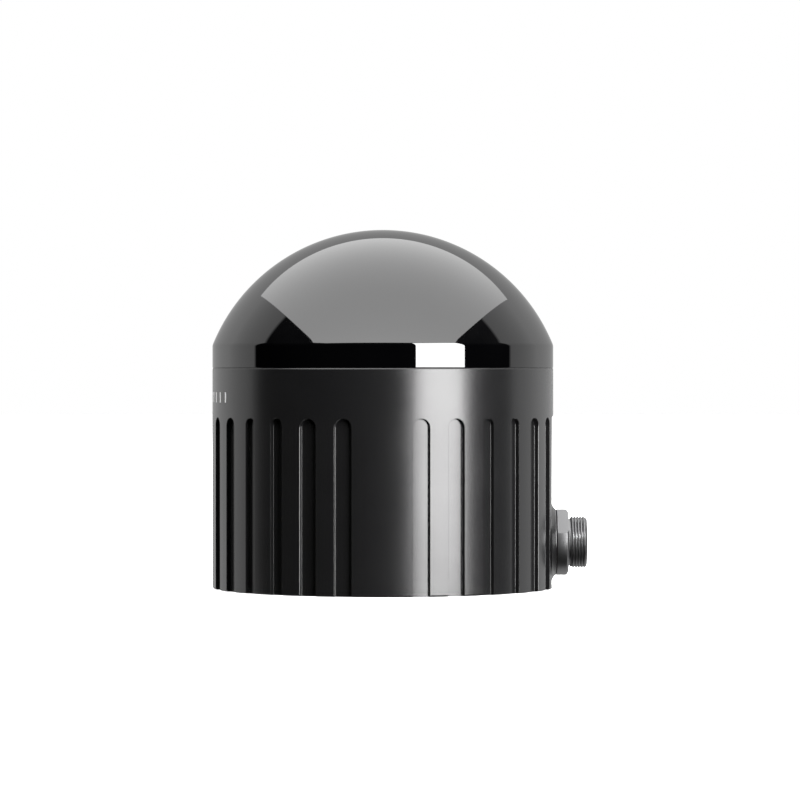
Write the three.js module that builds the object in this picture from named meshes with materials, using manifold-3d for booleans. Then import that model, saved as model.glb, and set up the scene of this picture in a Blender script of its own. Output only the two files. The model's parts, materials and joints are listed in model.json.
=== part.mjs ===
// A scanning lidar module: a gloss dome over a finned round housing, with a spinning optical head inside.
// Millimetres, +Z up. The origin is on the axis of rotation, at the face the module is bolted down by.
// The cable connector points along +X and the front of the module looks along -X.

import * as THREE from "three";
import { mergeVertices } from "three/addons/utils/BufferGeometryUtils.js";
import Module from "manifold-3d";

const wasm = await Module();
wasm.setup();

// ---------------------------------------------------------------- driving dimensions

// Fits and gaps
const FIT_GAP = 0.05; // radial, between a seat and what is pressed or glued into it
const SLIP_GAP = 0.15; // radial, between pieces that are dropped into each other
const AIR_GAP = 0.5; // between a spinning piece and the fixed one beside it
const CONTACT_GAP = 0.1; // between two faces that are clamped together
const CUT_OVER = 1; // how far a cutting tool runs past the face it cuts
const ROOT_OVERLAP = 0.5; // how far a joined feature is sunk into what it grows from
const EDGE_BREAK = 0.2; // the small chamfer on turned edges

// Housing
const BODY_RADIUS = 30;
const HOUSING_HEIGHT = 38.7;
const HOUSING_WALL = 4.2; // between the floor of a cooling slot and the bore, to carry heat down
const LIP_SEAT_WALL = 2.8; // the housing's wall round the dome's lip
const TOP_CHAMFER = 0.2;
const FOOT_CHAMFER = 0.3;
const DECK_THICKNESS = 2.5; // the wall that carries the motor, above the electronics
const DECK_BELOW_SEAM = 16.6; // from the top of the housing down to the top of the deck
const STATOR_SEAT_WALL = 1.5;
const STATOR_SEAT_LEDGE = 1.8; // the ledge under the motor's core

// Cooling slots
const SLOT_WIDTH = 3;
const SLOT_WIDTH_NARROW = 2.4; // the two slots either side of each diagonal
const FIN_DEPTH = 0.8;
const SLOT_TOP_BELOW_SEAM = 8.6;
const FIRST_SLOT = 12.8; // degrees from the -Y and +Y sides, where the wall stays plain
const SLOT_PITCH = 12.1; // degrees
const SLOTS_PER_QUARTER = 6;

// Dome
const DOME_HEIGHT = 24.3; // from the housing's top edge to the top of the cap
const DOME_RIM = 4; // the straight rim under the cap
const DOME_WALL = 2;
const DOME_CHAMFER = 0.2;
const LIP_DEPTH = 3; // the lip that drops into the housing
const LIP_WALL = 2.2;

// Round seals
const SEAL_SECTION = 0.55; // radius of the cord
const SEAL_GROOVE_GAP = 0.1;

// Base cover
const COVER_THICKNESS = 2.2;
const COVER_SCREW_SPREAD = 30; // degrees
const COVER_SCREW_INSET = 3.7; // from the bore's wall in to the screws
const COVER_SCREW_RADIUS = 1;
const COVER_HEAD_RADIUS = 1.9;
const COVER_HEAD_HEIGHT = 1.1;
const COVER_SCREW_LENGTH = 6;
const HEAD_RIM = 0.15;
const HEAD_SUNK = 0.1;
const SCREW_TIP = 0.3;
const DRIVE_RADIUS = 0.75;
const DRIVE_DEPTH = 0.8;
const SCREW_BOSS_RADIUS = 2.5;
const SCREW_BOSS_TOP = 9;
const SCREW_BOSS_ROOF = 1;
const SCREW_WEB_HALF = 2;

// Mounting interface in the base cover
const MOUNT_HOLE_HALF_SPACING = 12;
const MOUNT_HOLE_RADIUS = 1.25; // tapping size of M3
const MOUNT_HOLE_DEPTH = 4.9;
const MOUNT_BOSS_RADIUS = 2.8;
const MOUNT_BOSS_ROOF = 0.9;
const LOCATING_HOLE_RADIUS = 1;
const LOCATING_HOLE_DEPTH = 1.4;
const LOCATING_HOLE_OFFSET = 15;
const VENT_OFFSET = 15;
const VENT_RADIUS = 2.4;
const VENT_STEM_RADIUS = 1.4;
const VENT_CAP = 0.9;
const VENT_RIM = 0.7;
const VENT_POCKET = 0.35;
const VENT_BORE = 0.5;
const VENT_STANDS = 0.6; // inside the cover

// Connector
const CONNECTOR_HEIGHT = 8;
const CONNECTOR_FLAT_DEPTH = 0.4; // the flat milled on the housing under the connector
const CONNECTOR_FLAT_HALF = 4.9;
const PORT_BOSS_RADIUS = 5.9;
const PORT_BOSS_OUT = 0.45; // how far the boss stands past the body radius
const PORT_FLARE = 1.1;
const PORT_FOOT = 0.9; // height of the boss's flat underside
const SHELL_FLANGE_RADIUS = 5.8;
const SHELL_FLANGE_LENGTH = 2.1;
const SHELL_SHOULDER = 0.2; // left behind the spanner flats
const SHELL_FLATS = 9.4; // across the two spanner flats
const SHELL_FLAT_ANGLE = 54.6; // degrees above the horizontal
const PORT_SEAL_BACK = 2.6; // from the flange back to the seal round the barrel
const PORT_SEAL_SECTION = 0.4;
const THREAD_RADIUS = 4.5;
const THREAD_LENGTH = 2.9;
const NECK_LENGTH = 0.35;
const NECK_DEPTH = 0.4; // below the crest of the thread
const THREAD_CHAMFER = 0.35;
const SHELL_CHAMFER = [0.5, 0.35];
const THREAD_WALL = 1;
const SOCKET_DEPTH = 4.2;
const BARREL_TAIL = 0.15; // out of the back of the nut
const BARREL_RADIUS = 4.3;
const INSERT_BORE = 3.05;
const NUT_HEX_RADIUS = 5.5;
const NUT_THICKNESS = 2;
const PORT_PAD_RADIUS = 5.6;
const PORT_PAD_STANDS = 1.6; // in from the bore's wall
const KEY_WIDTH = 1;
const KEY_HEIGHT = 0.5;
const KEY_BACK = 0.6; // from the thread's end
const PIN_RADIUS = 0.38;
const PIN_CIRCLE = 2.1;
const PINS_ON_CIRCLE = 5;
const PIN_STANDS = 3.2; // out of the insert
const PIN_TAIL = 1.2;

// Circuit boards
const BOARD_THICKNESS = 1.4;
const BOARD_BELOW_DECK = 2.9;
const MAIN_BOARD_CLEARANCE = 2.6; // to the bore's wall
const CHIP_HEIGHT = 1.3;
const PROCESSOR_SIZE = 12;
const PROCESSOR_PLACE = [-14, 1];
const MEMORY_SIZE = 8;
const MEMORY_PLACE = [13, 6];
const TRANSFORMER_SIZE = [7, 10, 3.6];
const TRANSFORMER_PLACE = [-2, 9];
const POST_RADIUS = 2;
const POST_INSET = 3.8; // from the edge of the board
const POST_SCREW_RADIUS = 1.1;
const POSTS = 3;
const FLEX_WIDTH = 6;
const FLEX_THICKNESS = 0.3;
const FLEX_BEND = 2.5;
const FLEX_DROP = 2.6; // below the connector's axis
const FLEX_TAB = 3; // along the board

// Spindle and bearings
const SPINDLE_RADIUS = 3;
const SPINDLE_BORE = 1.5;
const SPINDLE_FLANGE_RADIUS = 7.5;
const SPINDLE_FLANGE_THICKNESS = 1.6;
const BEARING_WIDTH = 3;
const RACE_WALL = 1;
const RACE_GROOVE = 0.35;
const RACE_GROOVE_HALF = 0.7;
const BALL_GAP = 1;
const BALLS = 9;
const BALL_RADIUS = 0.65;
const CAGE_HALF = 0.2;
const LOWER_BEARING_OVER_DECK = 3;
const BEARING_SPREAD = 5.4; // between the facing sides of the two bearings
const SPINDLE_NUT_THICKNESS = 1.4;

// Motor
const HUB_WALL = 1.6;
const HUB_LIP = 0.8;
const HUB_FLANGE_RADIUS = 10.4;
const HUB_FLANGE_THICKNESS = 1.4;
const MAGNET_WALL = 2;
const MAGNET_HEIGHT = 5.6;
const MOTOR_GAP = 0.4;
const TEETH = 9;
const TOOTH_WIDTH = 3;
const TOOTH_LENGTH = 5.2;
const SHOE_DEPTH = 1;
const SHOE_SIDE = 1; // how far a tooth's tip spreads past its sides
const YOKE_WALL = 2.4;
const CORE_HEIGHT = 4;
const COIL_THICKNESS = 1;
const COIL_RING_WIDTH = 1.6;
const COIL_GAP = 0.1;
const COIL_RADIUS = 11.4; // outer radius of the two power transfer coils
const COIL_HEIGHT = 1.3;

// Rotor platform and what it carries
const PLATFORM_CLEARANCE = 1.45; // to the dome's lip
const PLATFORM_THICKNESS = 2;
const CODE_DISC_INSET = 1;
const CODE_DISC_THICKNESS = 0.6;
const CODE_SLOTS = 20;
const CODE_SLOT_LENGTH = 1.4;
const CODE_SLOT_WIDTH = 1.6;
const READER_SIZE = [3, 5];
const READER_WALL = 1;
const READER_EYE = 1.6;
const READER_ANGLE = 135;
const ROTOR_BOARD_RADIUS = 13;
const ROTOR_BOARD_STANDS = 1.6;
const ROTOR_BOARD_THICKNESS = 1;
const ROTOR_PAD_RADIUS = 1.2;
const ROTOR_PAD_INSET = 1.5;
const ROTOR_PADS = 3;
const WEIGHT_ARC = 76; // degrees
const WEIGHT_WIDTH = 5.4;
const WEIGHT_INSET = 0.4;
const WEIGHT_HEIGHT = 5;

// Optical head
const HEAD_CLEARANCE = 1.1; // between the spinning head and the inside of the dome
const HEAD_TILT = 45; // degrees above the horizon
const HEAD_STANDS = 11.8; // from the platform up to the middle of the head
const LENS_SPACING = 15.2; // between the transmitting and the receiving lens
const TUBE_RADIUS = 6.7;
const TUBE_WALL = 1;
const TUBE_FRONT = 5.4;
const TUBE_BACK = 4.9;
const LENS_THICKNESS = 2.4;
const LENS_CROWN = 0.9;
const LENS_SUNK = 0.8; // behind the tube's mouth
const LENS_SHELF = 0.5;
const HOLDER_THICKNESS = 4.4;
const HOLDER_HALF_HEIGHT = 7.8;
const CHEEK_THICKNESS = 2.2;
const CHEEK_HALF_LENGTH = 8;
const CHEEK_TOP_HALF = 4;
const CHEEK_TOP_RISE = 2; // over the middle of the head
const OPTIC_BOARD_HALF = 6;
const OPTIC_BOARD_THICKNESS = 1.1;
const SHIELD_THICKNESS = 0.8;
const SHIELD_REACH = 6;
const SHIELD_HALF_HEIGHT = 7;
const LINK_RADIUS = 1.1;
const LINK_HEIGHT = 2;

// ---------------------------------------------------------------- derived places

const SLOT_FLOOR = BODY_RADIUS - FIN_DEPTH;
const BORE_RADIUS = SLOT_FLOOR - HOUSING_WALL;
const SLOT_TOP = HOUSING_HEIGHT - SLOT_TOP_BELOW_SEAM;
const DECK_TOP = HOUSING_HEIGHT - DECK_BELOW_SEAM;
const DECK_BOTTOM = DECK_TOP - DECK_THICKNESS;
const CAP_RISE = DOME_HEIGHT - DOME_RIM;
const DOME_RADIUS = (BODY_RADIUS ** 2 + CAP_RISE ** 2) / (2 * CAP_RISE);
const DOME_CENTRE = HOUSING_HEIGHT + DOME_HEIGHT - DOME_RADIUS;
const LIP_SEAT_RADIUS = BODY_RADIUS - LIP_SEAT_WALL;
const LIP_RADIUS = LIP_SEAT_RADIUS - SLIP_GAP;
const LIP_BOTTOM = HOUSING_HEIGHT - LIP_DEPTH;
const COVER_RADIUS = BORE_RADIUS - SLIP_GAP;
const PORT_FLAT = BODY_RADIUS - CONNECTOR_FLAT_DEPTH;
const PORT_FACE = BODY_RADIUS + PORT_BOSS_OUT;
const PORT_PAD = BORE_RADIUS - PORT_PAD_STANDS;
const BARREL_REAR = PORT_FACE - PORT_PAD + 2 * CONTACT_GAP + NUT_THICKNESS + BARREL_TAIL;
const NECK_RADIUS = THREAD_RADIUS - NECK_DEPTH;
const SOCKET_RADIUS = THREAD_RADIUS - THREAD_WALL;
const SHELL_END = SHELL_FLANGE_LENGTH + NECK_LENGTH + THREAD_LENGTH;
const COVER_SCREW_CIRCLE = BORE_RADIUS - COVER_SCREW_INSET;
const MAIN_BOARD_RADIUS = BORE_RADIUS - MAIN_BOARD_CLEARANCE;
const POST_CIRCLE = MAIN_BOARD_RADIUS - POST_INSET;
const BOARD_TOP = DECK_BOTTOM - BOARD_BELOW_DECK;
const BOARD_BOTTOM = BOARD_TOP - BOARD_THICKNESS;
const INNER_RACE = SPINDLE_RADIUS + FIT_GAP;
const OUTER_RACE = INNER_RACE + 2 * RACE_WALL + BALL_GAP;
const LOWER_BEARING = DECK_TOP + LOWER_BEARING_OVER_DECK;
const UPPER_BEARING = LOWER_BEARING + BEARING_WIDTH + BEARING_SPREAD;
const BEARINGS_TOP = UPPER_BEARING + BEARING_WIDTH;
const SPINDLE_TOP = BEARINGS_TOP + SPINDLE_NUT_THICKNESS;
const HUB_BORE = OUTER_RACE + FIT_GAP;
const HUB_RADIUS = HUB_BORE + HUB_WALL;
const HUB_BOTTOM = LOWER_BEARING - HUB_LIP;
const MAGNET_RADIUS = HUB_RADIUS + FIT_GAP + MAGNET_WALL;
const MAGNET_BOTTOM = HUB_BOTTOM + COIL_HEIGHT + AIR_GAP;
const CORE_BORE = MAGNET_RADIUS + MOTOR_GAP;
const CORE_BOTTOM = MAGNET_BOTTOM + (MAGNET_HEIGHT - CORE_HEIGHT) / 2;
const YOKE_BORE = CORE_BORE + TOOTH_LENGTH;
const CORE_RADIUS = YOKE_BORE + YOKE_WALL;
const STATOR_SEAT_RADIUS = CORE_RADIUS + FIT_GAP + STATOR_SEAT_WALL;
const PLATFORM_RADIUS = LIP_RADIUS - LIP_WALL - PLATFORM_CLEARANCE;
const CODE_DISC_RADIUS = PLATFORM_RADIUS - CODE_DISC_INSET;
const PLATFORM_BOTTOM = BEARINGS_TOP - HUB_LIP;
const PLATFORM_TOP = PLATFORM_BOTTOM + PLATFORM_THICKNESS;
const ROTOR_BOARD_BOTTOM = PLATFORM_TOP + ROTOR_BOARD_STANDS;
const HEAD_REACH = DOME_RADIUS - DOME_WALL - HEAD_CLEARANCE;
const HEAD_CENTRE = PLATFORM_TOP + HEAD_STANDS;
const TUBE_SEAT = TUBE_RADIUS + FIT_GAP;
const CHEEK_INNER = LENS_SPACING / 2 + TUBE_SEAT + TUBE_WALL;

// ---------------------------------------------------------------- materials

function finish(color, roughness, metalness) {
  return new THREE.MeshStandardMaterial({ color, roughness, metalness });
}

const FINISH = {
  window: finish(0x0b0b0d, 0.05, 0),
  anodised: finish(0x1b1c1f, 0.38, 0.6),
  rubber: finish(0x16161a, 0.85, 0),
  steel: finish(0x8c8f94, 0.35, 1),
  blackSteel: finish(0x2a2b2e, 0.4, 0.9),
  nickel: finish(0x55575b, 0.3, 1),
  plastic: finish(0x141416, 0.55, 0),
  gold: finish(0xd2a545, 0.25, 1),
  board: finish(0x12402c, 0.5, 0),
  chip: finish(0x101012, 0.6, 0),
  copper: finish(0xb4693a, 0.35, 1),
  magnet: finish(0x4b4d52, 0.45, 0.8),
  alloy: finish(0xb6b9bd, 0.4, 1),
  glass: finish(0x24304a, 0.05, 0),
  film: finish(0xc98f32, 0.45, 0),
  pad: finish(0x8d97a6, 0.9, 0),
};

// ---------------------------------------------------------------- solids

// How many flats a round of this radius gets.
function sides(radius) {
  if (radius > 15) return 40;
  if (radius > 2.5) return 20;
  return radius > 1 ? 12 : 8;
}

// A closed three.js geometry as a solid for joining and cutting, whichever way its faces wind.
function solid(geometry) {
  const bare = new THREE.BufferGeometry();
  bare.setAttribute("position", geometry.getAttribute("position"));
  bare.setIndex(geometry.index);
  const merged = mergeVertices(bare, 1e-4);
  const corners = merged.index.array;
  const kept = [];
  for (let i = 0; i < corners.length; i += 3) {
    const [a, b, c] = corners.slice(i, i + 3);
    if (a !== b && b !== c && c !== a) kept.push(a, b, c);
  }
  const vertProperties = new Float32Array(merged.attributes.position.array);
  const build = (list) =>
    new wasm.Manifold(new wasm.Mesh({ numProp: 3, vertProperties, triVerts: new Uint32Array(list) }));
  const made = build(kept);
  return made.volume() < 0 ? build(kept.reverse()) : made;
}

// A solid as the geometry of a mesh.
function geometryOf(made) {
  const mesh = made.getMesh();
  const geometry = new THREE.BufferGeometry();
  geometry.setAttribute("position", new THREE.BufferAttribute(mesh.vertProperties, 3));
  geometry.setIndex(new THREE.BufferAttribute(mesh.triVerts, 1));
  const faceted = geometry.toNonIndexed();
  faceted.computeVertexNormals();
  return faceted;
}

function join(first, ...others) {
  return others.reduce((whole, next) => whole.add(next), first);
}

function cut(first, ...tools) {
  return tools.reduce((whole, next) => whole.subtract(next), first);
}

// A profile of [radius, height] points turned about Z. It closes on itself.
function turned(profile, flats) {
  const points = [...profile, profile[0]].map(([r, z]) => new THREE.Vector2(r, z));
  const widest = Math.max(...profile.map(([r]) => r));
  const geometry = new THREE.LatheGeometry(points, flats ?? sides(widest));
  return solid(geometry.rotateX(Math.PI / 2));
}

function rod(radius, bottom, top, flats) {
  return turned([[0, bottom], [radius, bottom], [radius, top], [0, top]], flats ?? sides(radius));
}

function tube(outer, inner, bottom, top, flats) {
  return turned([[inner, bottom], [outer, bottom], [outer, top], [inner, top]], flats);
}

// A round seal whose cord has its middle at this radius and height.
function sealRing(radius, height, cord = SEAL_SECTION) {
  const around = Array.from({ length: 8 }, (_, i) => (i / 8) * 2 * Math.PI);
  return turned(around.map((a) => [radius + cord * Math.cos(a), height + cord * Math.sin(a)]));
}

function block(x0, x1, y0, y1, z0, z1) {
  const geometry = new THREE.BoxGeometry(x1 - x0, y1 - y0, z1 - z0);
  return solid(geometry.translate((x0 + x1) / 2, (y0 + y1) / 2, (z0 + z1) / 2));
}

// An outline in the XY plane raised from one height to another.
function raised(shape, bottom, top, flats = 8) {
  const geometry = new THREE.ExtrudeGeometry(shape, {
    depth: top - bottom,
    bevelEnabled: false,
    curveSegments: flats,
  });
  return solid(geometry.translate(0, 0, bottom));
}

function prism(radius, count, bottom, top) {
  return rod(radius, bottom, top, count);
}

function ball(radius) {
  return solid(new THREE.SphereGeometry(radius, 36, 18));
}

// ---------------------------------------------------------------- scene graph

const lidar = new THREE.Group();
const fixed = new THREE.Group();
const rotor = new THREE.Group();
lidar.add(fixed, rotor);

function put(parent, name, made, material, position = [0, 0, 0], rotation = [0, 0, 0]) {
  const mesh = new THREE.Mesh(geometryOf(made), material);
  mesh.name = name;
  mesh.position.set(...position);
  mesh.rotation.set(...rotation);
  parent.add(mesh);
}

function radians(degrees) {
  return (degrees * Math.PI) / 180;
}

// A solid swung about Z by an angle in radians.
function swung(made, angle) {
  return made.rotate([0, 0, (angle * 180) / Math.PI]);
}

// Places on a circle, as [x, y, angle in radians].
function onCircle(radius, count, firstDegrees = 0) {
  return Array.from({ length: count }, (_, i) => {
    const angle = radians(firstDegrees) + (i / count) * 2 * Math.PI;
    return [radius * Math.cos(angle), radius * Math.sin(angle), angle];
  });
}

// ---------------------------------------------------------------- housing and dome

// One cooling slot as a cutter: a bar with a round top, reaching in to the slot floor along +X.
function slotCutter(width) {
  const half = width / 2;
  const foot = -CUT_OVER;
  const outline = new THREE.Shape();
  outline.moveTo(-half, foot);
  outline.lineTo(half, foot);
  outline.lineTo(half, SLOT_TOP - half);
  outline.absarc(0, SLOT_TOP - half, half, 0, Math.PI, false);
  outline.closePath();
  const bar = raised(outline, SLOT_FLOOR, BODY_RADIUS + CUT_OVER, 6);
  return bar.rotate([90, 0, 90]);
}

function slotCutters() {
  const quarters = [[90, 1], [90, -1], [270, 1], [270, -1]];
  const count = Array.from({ length: SLOTS_PER_QUARTER }, (_, i) => i);
  return quarters.flatMap(([middle, way]) =>
    count.map((i) => {
      const besideDiagonal = Math.abs(i - (SLOTS_PER_QUARTER - 1) / 2) < 1;
      const width = besideDiagonal ? SLOT_WIDTH_NARROW : SLOT_WIDTH;
      return slotCutter(width).rotate([0, 0, middle + way * (FIRST_SLOT + i * SLOT_PITCH)]);
    }),
  );
}

// The seat that the dome's lip drops into, the bore for the head and motor, and the deck.
function housingShell() {
  const body = turned([
    [0, DECK_BOTTOM],
    [BORE_RADIUS, DECK_BOTTOM],
    [BORE_RADIUS, 0],
    [BODY_RADIUS - FOOT_CHAMFER, 0],
    [BODY_RADIUS, FOOT_CHAMFER],
    [BODY_RADIUS, HOUSING_HEIGHT - TOP_CHAMFER],
    [BODY_RADIUS - TOP_CHAMFER, HOUSING_HEIGHT],
    [LIP_SEAT_RADIUS, HOUSING_HEIGHT],
    [LIP_SEAT_RADIUS, LIP_BOTTOM - SLIP_GAP],
    [BORE_RADIUS, LIP_BOTTOM - SLIP_GAP],
    [BORE_RADIUS, DECK_TOP],
    [0, DECK_TOP],
  ]);
  return cut(body, rod(SPINDLE_RADIUS + FIT_GAP, DECK_BOTTOM - CUT_OVER, DECK_TOP + CUT_OVER));
}

// The ring on the deck that the motor's core stands in.
function statorSeat() {
  const bore = CORE_RADIUS + FIT_GAP;
  const outer = STATOR_SEAT_RADIUS;
  const inner = CORE_RADIUS - STATOR_SEAT_LEDGE;
  const root = DECK_TOP - ROOT_OVERLAP;
  const top = CORE_BOTTOM + CORE_HEIGHT / 2;
  return turned([
    [inner, root],
    [outer, root],
    [outer, top],
    [bore, top],
    [bore, CORE_BOTTOM],
    [inner, CORE_BOTTOM],
  ]);
}

// The boss outside and the pad inside that the connector is clamped between.
function portBoss() {
  const root = PORT_BOSS_RADIUS + PORT_FLARE;
  const middle = (BORE_RADIUS + SLOT_FLOOR) / 2;
  const boss = turned([
    [0, PORT_PAD],
    [PORT_PAD_RADIUS, PORT_PAD],
    [PORT_PAD_RADIUS, middle],
    [root, middle],
    [root, PORT_FLAT],
    [PORT_BOSS_RADIUS, PORT_FACE - EDGE_BREAK],
    [PORT_BOSS_RADIUS, PORT_FACE],
    [0, PORT_FACE],
  ]).rotate([0, 90, 0]);
  const under = block(0, PORT_FACE + CUT_OVER, -root - CUT_OVER, root + CUT_OVER, -root, PORT_FOOT);
  return cut(boss.translate([0, 0, CONNECTOR_HEIGHT]), under);
}

function portBore() {
  const bore = rod(BARREL_RADIUS + SLIP_GAP, PORT_PAD - CUT_OVER, PORT_FACE + CUT_OVER);
  return bore.rotate([0, 90, 0]).translate([0, 0, CONNECTOR_HEIGHT]);
}

// The screws sit either side of the -Y and +Y sides, clear of the mounting holes.
function coverScrewPlaces() {
  return [90, 270].flatMap((middle) => [
    ...onCircle(COVER_SCREW_CIRCLE, 1, middle - COVER_SCREW_SPREAD),
    ...onCircle(COVER_SCREW_CIRCLE, 1, middle + COVER_SCREW_SPREAD),
  ]);
}

// A boss for a cover screw, webbed to the wall, with its tapped hole.
function screwBosses() {
  return coverScrewPlaces().map(([x, y, angle]) => {
    const post = rod(SCREW_BOSS_RADIUS, COVER_THICKNESS, SCREW_BOSS_TOP).translate([x, y, 0]);
    const reach = BORE_RADIUS + HOUSING_WALL / 2;
    const web = block(COVER_SCREW_CIRCLE, reach, -SCREW_WEB_HALF, SCREW_WEB_HALF,
      COVER_THICKNESS, SCREW_BOSS_TOP);
    const hole = rod(COVER_SCREW_RADIUS + SLIP_GAP, 0, SCREW_BOSS_TOP - SCREW_BOSS_ROOF);
    return cut(join(post, swung(web, angle)), hole.translate([x, y, 0]));
  });
}

function mainHousing() {
  const flat = block(PORT_FLAT, BODY_RADIUS + CUT_OVER, -CONNECTOR_FLAT_HALF, CONNECTOR_FLAT_HALF,
    -CUT_OVER, SLOT_TOP);
  const finned = cut(join(housingShell(), statorSeat()), ...slotCutters(), flat);
  const coverSpace = rod(COVER_RADIUS + SLIP_GAP, -CUT_OVER, COVER_THICKNESS);
  const withPort = join(finned, cut(portBoss(), coverSpace));
  return cut(join(withPort, ...screwBosses()), portBore());
}

// Points of a sphere's arc about the dome's centre, from the rim up to the axis.
function domeArc(radius, fromRadius, steps) {
  const start = Math.acos(fromRadius / radius);
  return Array.from({ length: steps + 1 }, (_, i) => {
    const angle = start + (i / steps) * (Math.PI / 2 - start);
    const r = i === steps ? 0 : radius * Math.cos(angle);
    return [r, DOME_CENTRE + radius * Math.sin(angle)];
  });
}

function domeWindow() {
  const inside = BODY_RADIUS - DOME_WALL;
  const grooveFloor = LIP_RADIUS - 2 * SEAL_SECTION;
  const groove = domeSealHeight();
  const half = SEAL_SECTION + SEAL_GROOVE_GAP;
  return turned([
    ...domeArc(DOME_RADIUS, BODY_RADIUS, 9),
    ...domeArc(DOME_RADIUS - DOME_WALL, inside, 6).reverse(),
    [inside, HOUSING_HEIGHT + DOME_WALL],
    [LIP_RADIUS - LIP_WALL, HOUSING_HEIGHT + DOME_WALL / 2],
    [LIP_RADIUS - LIP_WALL, LIP_BOTTOM],
    [LIP_RADIUS, LIP_BOTTOM],
    [LIP_RADIUS, groove - half],
    [grooveFloor, groove - half],
    [grooveFloor, groove + half],
    [LIP_RADIUS, groove + half],
    [LIP_RADIUS, HOUSING_HEIGHT],
    [BODY_RADIUS - DOME_CHAMFER, HOUSING_HEIGHT],
    [BODY_RADIUS, HOUSING_HEIGHT + DOME_CHAMFER],
  ]);
}

function domeSealHeight() {
  return LIP_BOTTOM + LIP_DEPTH / 2;
}

function domeSeal() {
  return sealRing(LIP_RADIUS + FIT_GAP - SEAL_SECTION, domeSealHeight());
}

// ---------------------------------------------------------------- base cover

function squarePlaces() {
  const signs = [[1, 1], [-1, 1], [-1, -1], [1, -1]];
  return signs.map(([a, b]) => [a * MOUNT_HOLE_HALF_SPACING, b * MOUNT_HOLE_HALF_SPACING]);
}

function coverScrewHole() {
  const neck = COVER_SCREW_RADIUS + SLIP_GAP;
  const mouth = COVER_HEAD_RADIUS + SLIP_GAP;
  return turned([
    [0, -CUT_OVER],
    [mouth, -CUT_OVER],
    [mouth, HEAD_SUNK],
    [neck, HEAD_SUNK + COVER_HEAD_HEIGHT],
    [neck, COVER_THICKNESS + CUT_OVER],
    [0, COVER_THICKNESS + CUT_OVER],
  ], 16);
}

function baseCover() {
  const groove = SEAL_SECTION + SEAL_GROOVE_GAP;
  const middle = COVER_THICKNESS / 2;
  const floor = COVER_RADIUS - 2 * SEAL_SECTION;
  const plate = turned([
    [0, 0],
    [COVER_RADIUS - EDGE_BREAK, 0],
    [COVER_RADIUS, EDGE_BREAK],
    [COVER_RADIUS, middle - groove],
    [floor, middle - groove],
    [floor, middle + groove],
    [COVER_RADIUS, middle + groove],
    [COVER_RADIUS, COVER_THICKNESS],
    [0, COVER_THICKNESS],
  ]);
  const bossTop = MOUNT_HOLE_DEPTH + MOUNT_BOSS_ROOF;
  const bosses = squarePlaces().map(([x, y]) =>
    rod(MOUNT_BOSS_RADIUS, COVER_THICKNESS / 2, bossTop).translate([x, y, 0]),
  );
  const mountHoles = squarePlaces().map(([x, y]) =>
    rod(MOUNT_HOLE_RADIUS, -CUT_OVER, MOUNT_HOLE_DEPTH).translate([x, y, 0]),
  );
  const screwHoles = coverScrewPlaces().map(([x, y]) => coverScrewHole().translate([x, y, 0]));
  const locators = [-1, 1].map((side) =>
    rod(LOCATING_HOLE_RADIUS, -CUT_OVER, LOCATING_HOLE_DEPTH)
      .translate([0, side * LOCATING_HOLE_OFFSET, 0]),
  );
  const ventSeat = rod(VENT_RADIUS + SLIP_GAP, -CUT_OVER, VENT_CAP + HEAD_SUNK);
  const ventHole = rod(VENT_STEM_RADIUS + SLIP_GAP, -CUT_OVER, COVER_THICKNESS + CUT_OVER);
  const vent = join(ventSeat, ventHole).translate([-VENT_OFFSET, 0, 0]);
  return cut(join(plate, ...bosses), ...mountHoles, ...screwHoles, ...locators, vent);
}

function baseSeal() {
  return sealRing(COVER_RADIUS + FIT_GAP - SEAL_SECTION, COVER_THICKNESS / 2);
}

// A countersunk screw with a hexagon socket, its head at the bottom.
function coverScrew() {
  const screw = turned([
    [0, 0],
    [COVER_HEAD_RADIUS, 0],
    [COVER_HEAD_RADIUS, HEAD_RIM],
    [COVER_SCREW_RADIUS, COVER_HEAD_HEIGHT - CONTACT_GAP],
    [COVER_SCREW_RADIUS, COVER_SCREW_LENGTH - SCREW_TIP],
    [COVER_SCREW_RADIUS - SCREW_TIP, COVER_SCREW_LENGTH],
    [0, COVER_SCREW_LENGTH],
  ], 12);
  return cut(screw, prism(DRIVE_RADIUS, 6, -CUT_OVER, DRIVE_DEPTH));
}

// The breather: a cap with a membrane over its stem.
function ventPlug() {
  const stemTop = COVER_THICKNESS + VENT_STANDS - HEAD_SUNK;
  const plug = join(rod(VENT_RADIUS, 0, VENT_CAP - FIT_GAP), rod(VENT_STEM_RADIUS, 0, stemTop));
  const pocket = rod(VENT_RADIUS - VENT_RIM, -CUT_OVER, VENT_POCKET);
  return cut(plug, pocket, rod(VENT_BORE, 0, stemTop + CUT_OVER));
}

// ---------------------------------------------------------------- connector, drawn along its own +Z

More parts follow.
